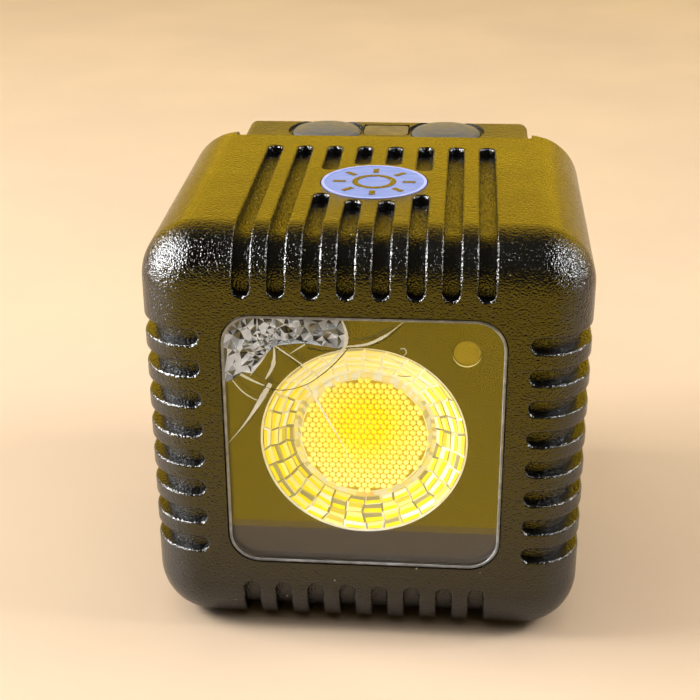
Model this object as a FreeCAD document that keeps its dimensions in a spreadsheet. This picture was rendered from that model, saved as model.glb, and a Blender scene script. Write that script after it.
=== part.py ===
# A pocket cube light: a ribbed metal cube with a glass window, one LED under a moulded lens,
# a rear cover with two press buttons and a screwed port cap, and a tripod thread underneath.
# +X is to the right of the window, +Y runs from the window to the rear, +Z is up. The origin is
# at the middle of the underside. "Station" means the distance behind the housing's front face.
import FreeCAD, Part
import math
import os
import re
import Sketcher
from FreeCAD import Placement, Rotation, Vector

SIZES = {
    # Housing
    "cube_size": 38.1, "shell_depth": 31.7, "wall": 2.7, "front_wall": 3.0, "corner_radius": 5.0,
    "front_radius": 4.5, "rear_radius": 2.0, "cavity_radius": 3.4,
    # Cooling grooves
    "groove_pitch": 2.87, "groove_width": 1.35, "groove_depth": 0.9, "groove_margin": 5.2,
    "groove_end": 25.4, "groove_rim": 0.25, "grooves_per_side": 8,
    "island_radius": 6.0, "badge_station": 14.8, "badge_diameter": 9.4, "badge_thickness": 0.35,
    "tripod_island": 7.0, "slip": 0.1,
    # Window and optics
    "window_size": 23.74, "window_radius": 2.7, "window_rise": 0.3, "seat_gap": 0.13,
    "seat_depth": 1.75, "seat_ledge": 1.0, "glass_front": 0.1, "glass_thickness": 1.0,
    "mask_thickness": 0.1, "lens_opening": 17.8, "gasket_width": 0.7, "gasket_thickness": 0.48,
    "sensor_offset": 8.6, "sensor_diameter": 2.4,
    "lens_front": 1.3, "flange_diameter": 19.6, "flange_thickness": 0.8, "lens_rear": 9.9,
    "lens_neck": 7.8, "lens_top_diameter": 18.0, "lens_pocket": 5.2, "lens_pocket_depth": 3.6,
    "holder_diameter": 21.6, "holder_bore": 20.0, "holder_ledge": 18.4,
    # LED board and heat path
    "led_board_station": 10.9, "led_board_size": 24.0, "led_board_thickness": 1.2,
    "led_size": 7.0, "led_thickness": 0.6, "phosphor_diameter": 4.4, "phosphor_thickness": 0.3,
    "dam_diameter": 5.4, "guide_diameter": 2.2, "led_screw_offset": 10.4,
    "pad_size": 22.0, "pad_thickness": 0.4, "spreader_station": 12.6, "spreader_thickness": 2.2,
    # Bosses and screws
    "boss_offset": 14.2, "boss_radius": 2.2, "pilot_radius": 0.85,
    "rear_boss_x": 12.0, "rear_boss_z": 14.5, "rear_boss_radius": 1.9, "rear_boss_start": 19.0,
    "rear_boss_end": 27.0, "screw_radius": 0.75, "screw_head_radius": 1.35, "screw_head": 1.0,
    # Battery and main board
    "cell_station": 16.6, "cell_depth": 7.5, "cell_width": 30.4, "cell_height": 21.6,
    "cell_middle": 20.0, "cell_pad_size": 20.0, "board_station": 25.6, "board_thickness": 1.0,
    "board_width": 31.0, "board_height": 23.6, "post_x": 10.6, "post_z": 9.8, "post_radius": 1.7,
    # Rear cover
    "cover_width": 28.4, "cover_bottom": 0.9, "cover_top": 37.2, "cover_edge": 0.8,
    "cover_rear_radius": 1.2, "plug_station": 27.2, "plug_size": 32.4, "plug_radius": 3.25,
    "cover_cavity_width": 25.2, "cover_cavity_bottom": 3.2, "cover_cavity_top": 34.7,
    "cover_cavity_end": 36.4, "notch_station": 28.9, "gasket_groove": 1.2,
    # Buttons
    "button_x": 6.0, "button_station": 34.1, "button_diameter": 6.9, "dish_diameter": 7.7,
    "dish_depth": 0.3, "bore_clearance": 0.05, "button_crown": 37.55, "button_shoulder": 37.2,
    "button_flange": 34.3, "button_tab_length": 7.5, "button_tab_width": 3.0,
    "stem_radius": 1.0, "plunger_top": 34.05, "switch_size": 3.4, "switch_height": 1.1,
    "button_board_z": 31.5, "button_board_thickness": 1.0, "button_board_width": 20.0,
    "button_board_start": 31.3, "button_board_end": 36.2, "button_screw_x": 8.95,
    "indicator_width": 4.4, "indicator_depth": 3.4, "indicator_station": 34.4,
    # Port and its cap
    "port_z": 13.0, "well_radius": 4.95, "well_start": 30.4, "well_boss_radius": 7.0,
    "cap_head_radius": 6.5, "cap_recess_radius": 6.65, "cap_recess_floor": 35.5,
    "cap_front": 32.5, "cap_rear": 37.95, "cap_stub_radius": 4.89, "cap_slot_width": 1.4,
    "cap_slot_depth": 0.9, "socket_width": 7.6, "socket_height": 2.8, "socket_rear": 31.9,
    # Tripod thread
    "insert_radius": 4.5, "insert_length": 7.2, "insert_bore_radius": 2.6, "tripod_station": 19.05,
    "tripod_boss_radius": 6.0, "tripod_boss_top": 8.6, "insert_gap": 0.03,
    # Leads
    "lead_radius": 0.5, "lead_bend": 1.4,
}

doc = FreeCAD.newDocument("CubeLight")
sheet = doc.addObject("Spreadsheet::Sheet", "Sizes")
for row, (alias, number) in enumerate(SIZES.items(), start=1):
    sheet.set(f"A{row}", alias)
    sheet.set(f"B{row}", str(number))
    sheet.setAlias(f"B{row}", alias)
doc.recompute()

MIDDLE = "cube_size / 2"
FRONT = "-cube_size / 2"
WINDOW_Z = "cube_size / 2 + window_rise"


def formula(text):
    """The expression for words that are the sheet's aliases."""
    def cell(word):
        return f"Sizes.{word[0]}" if word[0] in SIZES else word[0]
    return re.sub(r"[a-z][a-z_0-9]*", cell, text)


def size(alias):
    """A sheet value, for shapes built with Part's own functions."""
    return float(getattr(sheet, alias))


def bind(item, path, text):
    item.setExpression(path, formula(str(text)))


def place(item, x="0", y="0", z="0"):
    for axis, text in zip("xyz", (x, y, z)):
        bind(item, f"Placement.Base.{axis}", text)


# ---------------------------------------------------------------- PartDesign helpers

def start_body(label, x="0", y=FRONT, z="0"):
    body = doc.addObject("PartDesign::Body", label)
    body.Label = label
    place(body, x, y, z)
    return body


def draw(body, role, polygons=(), circles=(), offset="0"):
    """A sketch on one of the body's own planes, with every corner and centre dimensioned."""
    sketch = body.newObject("Sketcher::SketchObject", f"{body.Name}_sketch")
    plane = next(item for item in body.Origin.OriginFeatures if item.Role == role)
    sketch.AttachmentSupport = (plane, [""])
    sketch.MapMode = "FlatFace"
    bind(sketch, "AttachmentOffset.Base.z", offset)

    def dimension(kind, geometry, point, text, start):
        ends = (-1, 1, geometry, point) if point else (geometry,)
        index = sketch.addConstraint(Sketcher.Constraint(kind, *ends, start))
        bind(sketch, f"Constraints[{index}]", text)

    for corners in polygons:
        first = sketch.GeometryCount
        count = len(corners)
        ring = [Vector(20 + 5 * math.cos(2 * math.pi * k / count),
                       20 + 5 * math.sin(2 * math.pi * k / count), 0) for k in range(count)]
        for k in range(count):
            sketch.addGeometry(Part.LineSegment(ring[k], ring[(k + 1) % count]), False)
        for k in range(count):
            following = first + (k + 1) % count
            sketch.addConstraint(Sketcher.Constraint("Coincident", first + k, 2, following, 1))
        for k, (across, up) in enumerate(corners):
            dimension("DistanceX", first + k, 1, across, ring[k].x)
            dimension("DistanceY", first + k, 1, up, ring[k].y)
    for across, up, radius in circles:
        index = sketch.addGeometry(Part.Circle(Vector(20, 20, 0), Vector(0, 0, 1), 1), False)
        dimension("DistanceX", index, 3, across, 20)
        dimension("DistanceY", index, 3, up, 20)
        dimension("Radius", index, 0, radius, 1)
    return sketch


def rectangle(left, right, bottom, top):
    return [(left, bottom), (right, bottom), (right, top), (left, top)]


def square(half, middle):
    return rectangle(f"-({half})", half, f"{middle} - ({half})", f"{middle} + ({half})")


def add(body, kind, sketch, length="", reverse=False):
    """A Pad, Pocket or Revolution of a sketch. A revolution turns about the sketch's upright axis."""
    feature = body.newObject(f"PartDesign::{kind}", f"{body.Name}_{kind}")
    feature.Profile = sketch
    if kind in ("Revolution", "Groove"):
        feature.ReferenceAxis = (sketch, ["V_Axis"])
        feature.Angle = 360
    else:
        bind(feature, "Length", length)
        feature.Reversed = reverse
    doc.recompute()
    body.Tip = feature
    return feature


def slab(body, polygons=(), circles=(), start="0", length="1", kind="Pad"):
    """Material added or cut behind a station, from a profile seen from the front."""
    sketch = draw(body, "XZ_Plane", polygons, circles, f"-({start})")
    return add(body, kind, sketch, length, reverse=kind == "Pad")


def edge_names(shape, test):
    return [f"Edge{k}" for k, edge in enumerate(shape.Edges, start=1) if test(edge)]


def runs_along(edge, direction):
    if not isinstance(edge.Curve, (Part.Line, Part.LineSegment)):
        return False
    return abs(edge.tangentAt(edge.FirstParameter).dot(direction)) > 0.999


def round_edges(body, radius, test, kind="Fillet"):
    base = body.Tip
    feature = body.newObject(f"PartDesign::{kind}", f"{body.Name}_{kind}")
    feature.Base = (base, edge_names(base.Shape, test))
    bind(feature, "Radius" if kind == "Fillet" else "Size", radius)
    doc.recompute()
    body.Tip = feature
    return feature


def round_corners(body, radius, outside=0.0):
    """Fillet the edges that run front to rear, at least so far from the middle plane."""
    round_edges(body, radius, lambda edge: runs_along(edge, Vector(0, 1, 0))
                and abs(edge.Vertexes[0].Point.x) > outside)


# ---------------------------------------------------------------- Part helpers

TURNS = {"Z": Rotation(), "Y": Rotation(Vector(1, 0, 0), -90), "-Y": Rotation(Vector(1, 0, 0), 90)}


def cylinder(name, radius, height, x, y, z, axis="Y"):
    rod = doc.addObject("Part::Cylinder", name)
    rod.Placement = Placement(Vector(), TURNS[axis])
    bind(rod, "Radius", radius)
    bind(rod, "Height", height)
    place(rod, x, y, z)
    return rod


def block(name, width, depth, height, x, y, z):
    """A box with its middle at x, its front at y and its bottom at z."""
    box = doc.addObject("Part::Box", name)
    bind(box, "Length", width)
    bind(box, "Width", depth)
    bind(box, "Height", height)
    place(box, f"{x} - ({width}) / 2", y, z)
    return box


def join(label, pieces):
    union = doc.addObject("Part::MultiFuse", label)
    union.Shapes = pieces
    union.Label = label
    doc.recompute()
    return union


def cut(label, base, tool):
    result = doc.addObject("Part::Cut", label)
    result.Base = base
    result.Tool = tool
    result.Label = label
    doc.recompute()
    return result


def screw_group(label, places, head_station, length, rear_head=True):
    """Socket screws along Y, each one a head, a shank and a hexagon socket."""
    heads = []
    sockets = []
    for k, (x, z) in enumerate(places):
        head_y = f"{FRONT} + {head_station}"
        shank_y = f"{head_y} - ({length})" if rear_head else f"{head_y} + screw_head"
        heads.append(cylinder(f"{label}_head{k}", "screw_head_radius", "screw_head", x, head_y, z))
        heads.append(cylinder(f"{label}_shank{k}", "screw_radius", length, x, shank_y, z))
        socket = doc.addObject("Part::Prism", f"{label}_socket{k}")
        socket.Polygon = 6
        socket.Placement = Placement(Vector(), TURNS["Y"])
        bind(socket, "Circumradius", "screw_radius")
        bind(socket, "Height", "screw_head * 0.6")
        place(socket, x, f"{head_y} + screw_head * 0.4 * {int(rear_head)}", z)
        sockets.append(socket)
    return cut(label, join(f"{label}_bodies", heads), join(f"{label}_sockets", sockets))


# ---------------------------------------------------------------- housing

def groove_cutters():
    """Thirty-two round-ended slots that follow the skin of the cube at one depth."""
    side = size("cube_size")
    depth = size("groove_depth")
    width = size("groove_width")
    far = size("groove_end") - width / 2
    low = side - size("groove_margin") + width / 2
    reach = side
    seen_front = Part.makeBox(width, 2 * reach, reach, Vector(-width / 2, -reach / 2, low))
    seen_front = seen_front.fuse(Part.makeCylinder(width / 2, 2 * reach,
                                                   Vector(0, -reach / 2, low), Vector(0, 1, 0)))
    seen_top = Part.makeBox(width, far + reach / 2, 2 * reach, Vector(-width / 2, -reach / 2, 0))
    seen_top = seen_top.fuse(Part.makeCylinder(width / 2, 2 * reach, Vector(0, far, 0)))
    slot = seen_front.common(seen_top).removeSplitter()
    core = Part.makeBox(side - 2 * depth, side, side - 2 * depth,
                        Vector(depth - side / 2, depth, depth))
    core = rounded_block(core, size("corner_radius") - depth, size("front_radius") - depth, 0)
    slot = slot.cut(core)
    count = int(size("grooves_per_side"))
    islands = {0: ("badge_station", "island_radius"), 2: ("tripod_station", "tripod_island")}
    slots = []
    for quarter in range(4):
        for k in range(count):
            piece = slot.copy()
            across = (k - (count - 1) / 2) * size("groove_pitch")
            piece.translate(Vector(across, 0, 0))
            if quarter in islands:
                station, radius = (size(alias) for alias in islands[quarter])
                if abs(across) < radius:
                    piece = piece.cut(rounded_island(across, station, radius, width))
            piece.rotate(Vector(0, 0, side / 2), Vector(0, 1, 0), 90 * quarter)
            slots.append(piece)
    # A slot too short to mould, left over behind an island, is not cut.
    shortest = 2 * width * width * depth
    return Part.makeCompound([solid for piece in slots for solid in piece.Solids
                              if solid.Volume > shortest])


def rounded_island(across, station, radius, width):
    """What is left standing of a slot near the badge: a bar with a hollow round each slot end."""
    half = math.sqrt(radius ** 2 - across ** 2)
    tall = 2 * size("cube_size")
    bar = Part.makeBox(2 * width, 2 * half, tall, Vector(across - width, station - half, 0))
    for end in (station - half, station + half):
        bar = bar.cut(Part.makeCylinder(width / 2, tall, Vector(across, end, 0)))
    return bar


def rounded_block(box, corner, front, rear):
    """A box whose long edges are rounded first, then its front and rear rims."""
    low, high = box.BoundBox.YMin, box.BoundBox.YMax
    solid = box.makeFillet(corner, [edge for edge in box.Edges
                                    if abs(edge.tangentAt(edge.FirstParameter).y) > 0.9])
    for radius, level in ((front, low), (rear, high)):
        if radius > 0:
            solid = solid.makeFillet(radius, [edge for edge in solid.Edges if all(
                abs(corner.Y - level) < 1e-6 for corner in edge.Vertexes)])
    return solid


def build_housing():
    body = start_body("housing_blank")
    half = "cube_size / 2"
    slab(body, [square(half, MIDDLE)], length="shell_depth")
    round_corners(body, "corner_radius")
    for radius, level in (("front_radius", 0.0), ("rear_radius", size("shell_depth"))):
        round_edges(body, radius, lambda edge: all(
            abs(corner.Y - level) < 1e-6 for corner in edge.Vertexes))
    # The cavity is open at the rear, and corner bosses stand in it.
    cavity = "cube_size / 2 - wall"
    hollow = start_body("housing_hollow")
    slab(hollow, [square(cavity, MIDDLE)], start="front_wall", length="cube_size")
    round_corners(hollow, "cavity_radius")
    seat = start_body("window_seat_cut")
    slab(seat, [square("window_size / 2 + seat_gap", WINDOW_Z)], start="-1",
         length="seat_depth + 1")
    round_corners(seat, "window_radius + seat_gap")
    slab(seat, [square("window_size / 2 + seat_gap - seat_ledge", WINDOW_Z)], start="-1",
         length="front_wall + 2")
    bosses = []
    pilots = []
    for k, (across, up) in enumerate(((-1, -1), (1, -1), (-1, 1), (1, 1))):
        spots = (("boss_offset", "boss_offset", "boss_radius", "front_wall", "spreader_station"),
                 ("rear_boss_x", "rear_boss_z", "rear_boss_radius", "rear_boss_start",
                  "rear_boss_end"))
        for kind, (x, z, radius, start, end) in enumerate(spots):
            x = f"{across} * {x}"
            z = f"{MIDDLE} + {up} * {z}"
            bosses.append(cylinder(f"boss{kind}{k}", radius, f"{end} - {start}", x,
                                   f"{FRONT} + {start}", z))
            pilots.append(cylinder(f"pilot{kind}{k}", "pilot_radius", "6", x,
                                   f"{FRONT} + {end} - 5.5", z))
    bosses.append(cylinder("tripod_boss", "tripod_boss_radius", "tripod_boss_top - wall / 2", "0",
                           f"{FRONT} + tripod_station", "wall / 2", "Z"))
    pilots.append(cylinder("insert_seat", "insert_radius + insert_gap", "insert_length + 1", "0",
                           f"{FRONT} + tripod_station", "-1 + insert_gap", "Z"))
    pilots.append(cylinder("badge_seat", "badge_diameter / 2 + slip", "badge_thickness + 1", "0",
                           f"{FRONT} + badge_station", "cube_size - badge_thickness", "Z"))
    pilots.append(block("cover_notch", "cover_width + 4 * slip", "cube_size", "cube_size",
                        "0", f"{FRONT} + notch_station", "cube_size - wall - 1"))
    open_box = cut("housing_open", body, join("housing_voids", [hollow, seat]))
    # A boss that stands in a wall is trimmed to the outside of the cube by the blank itself.
    standing = join("all_bosses", bosses)
    inside = doc.addObject("Part::MultiCommon", "boss_trim")
    inside.Shapes = [standing, body]
    doc.recompute()
    drilled = cut("housing_drilled", join("housing_bossed", [open_box, inside]),
                  join("housing_drills", pilots))
    cutters = doc.addObject("Part::Feature", "groove_cutters")
    cutters.Shape = groove_cutters()
    place(cutters, y=FRONT)
    grooved = cut("housing_grooved", drilled, cutters)
    rims = doc.addObject("Part::Fillet", "housing_shell")
    rims.Base = grooved
    rims.Edges = [(int(name[4:]), size("groove_rim"), size("groove_rim"))
                  for name in edge_names(grooved.Shape, groove_rim_test(grooved.Shape, body.Shape))]
    rims.Label = "housing_shell"
    return rims


def groove_rim_test(shape, blank):
    """An edge lies on a groove's rim if it is on the blank's skin and joins a wall going deeper."""
    skin = blank.Shells[0]
    lowest = 0.6 * size("groove_depth")
    depths = {}
    end = size("groove_end") - size("cube_size") / 2 + 0.1
    reach = 4 * size("groove_pitch")

    def depth_of(corner):
        key = tuple(round(value, 4) for value in corner.Point)
        if key not in depths:
            depths[key] = skin.distToShape(corner)[0]
        return depths[key]

    def is_rim(edge):
        middle = edge.valueAt((edge.FirstParameter + edge.LastParameter) / 2)
        if middle.y > end or max(depth_of(corner) for corner in edge.Vertexes) > 1e-4:
            return False
        if skin.distToShape(Part.Vertex(middle))[0] > 1e-4:
            return False
        if min(abs(middle.x), abs(middle.z - size("cube_size") / 2)) > reach:
            return False
        deeper = False
        for face in shape.ancestorsOfType(edge, Part.Face):
            far = max(depth_of(corner) for corner in face.Vertexes)
            if far > 1.5 * size("groove_depth"):
                return False
            deeper = deeper or far > lowest
        return deeper
    return is_rim


def build_badge():
    body = start_body("badge", y=f"{FRONT} + badge_station")
    disc = draw(body, "XY_Plane", circles=[("0", "0", "badge_diameter / 2")],
                offset="cube_size - badge_thickness")
    add(body, "Pad", disc, "badge_thickness")
    return body


def build_tripod_insert():
    body = start_body("tripod_insert", y=f"{FRONT} + tripod_station")
    ring = draw(body, "XY_Plane", circles=[("0", "0", "insert_radius"),
                                           ("0", "0", "insert_bore_radius")])
    add(body, "Pad", ring, "insert_length")
    return body


# ---------------------------------------------------------------- window and optics

def build_window():
    glass = start_body("window_glass")
    slab(glass, [square("window_size / 2", WINDOW_Z)], start="glass_front",
         length="glass_thickness")
    round_corners(glass, "window_radius")
    mask = start_body("window_mask")
    inset = "window_size / 2 - seat_gap"
    hole = ("0", WINDOW_Z, "lens_opening / 2")
    sensor = ("sensor_offset", f"{WINDOW_Z} + sensor_offset", "sensor_diameter / 2")
    start = "glass_front + glass_thickness + 0.02"
    slab(mask, [square(inset, WINDOW_Z)], [hole, sensor], start=start, length="mask_thickness")
    round_corners(mask, "window_radius - seat_gap", outside=size("lens_opening") / 2 + 2)
    gasket = frame_ring("window_gasket", inset, WINDOW_Z, "window_radius - seat_gap",
                        "gasket_width", f"{start} + mask_thickness + 0.02", "gasket_thickness")
    return [glass, mask, gasket]


def frame_ring(label, half, middle, radius, width, start, length):
    """A flat square ring with rounded corners inside and out."""
    solid = start_body(f"{label}_blank")
    slab(solid, [square(half, middle)], start=start, length=length)
    round_corners(solid, radius)
    hole = start_body(f"{label}_hole")
    slab(hole, [square(f"{half} - ({width})", middle)], start=f"{start} - 1",
         length=f"{length} + 2")
    round_corners(hole, f"{radius} - ({width})")
    return cut(label, solid, hole)


def build_lens():
    body = start_body("collimator_lens", z=WINDOW_Z)
    flange_rear = "lens_front + flange_thickness"
    profile = [("0", "lens_front"), ("flange_diameter / 2", "lens_front"),
               ("flange_diameter / 2", flange_rear), ("lens_top_diameter / 2", flange_rear),
               ("lens_top_diameter / 2 - 1.2", "lens_front + 4"),
               ("lens_top_diameter / 2 - 2.8", "lens_front + 6.2"),
               ("lens_neck / 2", "lens_rear"), ("lens_pocket / 2", "lens_rear"),
               ("lens_pocket / 2 - 0.4", "lens_rear - lens_pocket_depth"),
               ("0", "lens_rear - lens_pocket_depth - 0.6")]
    add(body, "Revolution", draw(body, "XY_Plane", [profile]))
    return body


def build_lens_holder():
    body = start_body("lens_holder", z=WINDOW_Z)
    rear = "led_board_station - 0.04"
    ledge = "lens_front + flange_thickness + 0.05"
    profile = [("holder_diameter / 2", "lens_front"), ("holder_diameter / 2", rear),
               ("holder_bore / 2", rear), ("holder_bore / 2", f"{ledge} + 1"),
               ("holder_ledge / 2", f"{ledge} + 1"), ("holder_ledge / 2", ledge),
               ("holder_bore / 2", ledge), ("holder_bore / 2", "lens_front")]
    add(body, "Revolution", draw(body, "XY_Plane", [profile]))
    return body


def build_led():
    board = start_body("led_board")
    spots = [(f"{x} * led_screw_offset", f"{WINDOW_Z} + {z} * led_screw_offset", "screw_radius + 0.1")
             for x, z in LED_SCREWS]
    slab(board, [square("led_board_size / 2", WINDOW_Z)], spots, start="led_board_station",
         length="led_board_thickness")
    base = start_body("led_emitter")
    front = "led_board_station - led_thickness - 0.02"
    slab(base, [square("led_size / 2", WINDOW_Z)], start=front, length="led_thickness")
    phosphor = start_body("led_phosphor")
    disc = f"{front} - phosphor_thickness - 0.02"
    slab(phosphor, circles=[("0", WINDOW_Z, "phosphor_diameter / 2")], start=disc,
         length="phosphor_thickness")
    dam = start_body("led_dam")
    slab(dam, circles=[("0", WINDOW_Z, "dam_diameter / 2"),
                       ("0", WINDOW_Z, "phosphor_diameter / 2 + 0.02")],
         start=disc, length="phosphor_thickness")
    guide = start_body("light_guide")
    centre = ("sensor_offset", f"{WINDOW_Z} + sensor_offset", "guide_diameter / 2")
    slab(guide, circles=[centre], start="lens_front", length="8.4")
    sensor = start_body("flash_sensor")
    slab(sensor, [rectangle("sensor_offset - 0.9", "sensor_offset + 1.3",
                            f"{WINDOW_Z} + sensor_offset - 0.9", f"{WINDOW_Z} + sensor_offset + 0.9")],
         start="led_board_station - 1.02", length="1")
    return [board, base, phosphor, dam, guide, sensor]


LED_SCREWS = ((-1, 1), (-1, -1), (1, -1))


def build_heat_path():
    pad = start_body("thermal_pad")
    holes = [(f"{x} * led_screw_offset", f"{WINDOW_Z} + {z} * led_screw_offset", "screw_radius + 0.1")
             for x, z in LED_SCREWS]
    slab(pad, [square("pad_size / 2", WINDOW_Z)], start="spreader_station - pad_thickness - 0.03",
         length="pad_thickness")
    slab(pad, circles=[(x, z, "screw_radius + 0.4") for x, z, _ in holes], kind="Pocket",
         start="led_board_station", length="spreader_thickness")
    plate = start_body("heat_spreader")
    slab(plate, [square("cube_size / 2 - wall - slip", MIDDLE)], start="spreader_station + 0.02",
         length="spreader_thickness")
    round_corners(plate, "cavity_radius - slip")
    corners = [(f"{x} * boss_offset", f"{MIDDLE} + {z} * boss_offset", "screw_radius + 0.15")
               for x in (-1, 1) for z in (-1, 1)]
    slab(plate, circles=holes + corners, kind="Pocket", start="spreader_station - 1",
         length="spreader_thickness + 2")
    leads_notch = rectangle("-8.8", "-5.8", "wall - 1", "wall + 3.9")
    boss_notch = rectangle("-4.8", "4.8", "wall - 1", "tripod_boss_top + 0.4")
    slab(plate, [leads_notch, boss_notch], kind="Pocket", start="spreader_station - 1",
         length="spreader_thickness + 2")
    return [pad, plate]


# ---------------------------------------------------------------- battery, boards and leads

def build_battery():
    cell = start_body("battery_cell")
    tall = "cell_height / 2"
    slab(cell, [rectangle("-cell_width / 2", "cell_width / 2", f"cell_middle - {tall}",
                          f"cell_middle + {tall}")], start="cell_station", length="cell_depth")
    round_edges(cell, "1.2", lambda edge: True)
    pad = start_body("battery_pad")
    rear = "spreader_station + spreader_thickness + 0.05"
    slab(pad, [square("cell_pad_size / 2", "cell_middle")], start=rear,
         length=f"cell_station - 0.03 - ({rear})")
    return [cell, pad]


def build_main_board():
    board = start_body("main_board")
    tall = "board_height / 2"
    posts = [(f"{x} * post_x", f"{MIDDLE} + {z} * post_z", "screw_radius + 0.1")
             for x in (-1, 1) for z in (-1, 1)]
    slab(board, [rectangle("-board_width / 2", "board_width / 2", f"{MIDDLE} - {tall}",
                           f"{MIDDLE} + {tall}")], posts, start="board_station",
         length="board_thickness")
    round_corners(board, "0.8", outside=size("board_width") / 2 - 0.5)
    rear = f"{FRONT} + board_station + board_thickness + 0.02"
    chips = [block("charger_chip", "4", "0.9", "4", "-6.5", rear, "21"),
             block("driver_chip", "5", "1.0", "5", "5.5", rear, "20.5"),
             block("radio_chip", "6", "1.6", "4.5", "-5", rear, "26"),
             block("driver_coil", "4.4", "2.4", "4.4", "9.5", rear, "17")]
    components = join("board_components", chips)
    socket = start_body("usb_socket")
    half_width, half_height = "socket_width / 2", "socket_height / 2"
    mouth = "socket_rear"
    base = "board_station + board_thickness + 0.02"
    slab(socket, [rectangle(f"-{half_width}", half_width, f"port_z - {half_height}",
                            f"port_z + {half_height}")], start=base, length=f"{mouth} - ({base})")
    round_corners(socket, "0.6")
    slab(socket, [rectangle("-3.4", "3.4", "port_z - 0.9", "port_z + 0.9")], kind="Pocket",
         start=f"{mouth} - 4", length="5")
    slab(socket, [rectangle("-1.9", "1.9", "port_z - 0.3", "port_z + 0.3")],
         start=f"{mouth} - 4.2", length="3.6")
    return [board, components, socket]


def lead(points):
    """A round wire along straight runs joined by tangent arcs. Points are stations and heights."""
    radius, bend = size("lead_radius"), size("lead_bend")
    route = [Vector(*point) for point in points]
    edges = []
    start = route[0]
    for before, corner, after in zip(route, route[1:], route[2:]):
        into = (corner - before).normalize()
        out = (after - corner).normalize()
        reach = bend * math.tan(into.getAngle(out) / 2)
        entry = corner - into * reach
        leave = corner + out * reach
        half = (entry + leave) * 0.5
        centre = corner + (half - corner).normalize() * (bend / math.cos(into.getAngle(out) / 2))
        middle = centre + (corner - centre).normalize() * bend
        edges += [Part.LineSegment(start, entry).toShape(), Part.Arc(entry, middle, leave).toShape()]
        start = leave
    edges.append(Part.LineSegment(start, route[-1]).toShape())
    first = (route[1] - route[0]).normalize()
    section = Part.Wire(Part.makeCircle(radius, route[0], first))
    return Part.Wire(edges).makePipeShell([section], True, False)


def build_leads():
    groups = []
    low = size("wall") + 2.3
    board_low = size("cube_size") / 2 - size("board_height") / 2
    board_high = size("cube_size") / 2 + size("board_height") / 2
    board_mid = size("board_station") + size("board_thickness") / 2
    cell_top = size("cell_middle") + size("cell_height") / 2
    front = size("led_board_station") - size("lead_radius") - 0.05
    high = cell_top + 2.0
    routes = {
        "led_leads": [[(x, front, 9.2), (x, front, low), (x, board_mid, low),
                       (x, board_mid, board_low - 0.05)] for x in (-6.7, -7.85)],
        "battery_leads": [[(x, 20.0, cell_top + 0.05), (x, 20.0, high), (x, board_mid, high),
                           (x, board_mid, board_high + 0.05)] for x in (2.6, 4.4)],
    }
    for label, runs in routes.items():
        wires = doc.addObject("Part::Feature", label)
        wires.Shape = Part.makeCompound([lead(points) for points in runs])
        wires.Label = label
        place(wires, y=FRONT)
        groups.append(wires)
    return groups


# ---------------------------------------------------------------- rear cover

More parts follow.
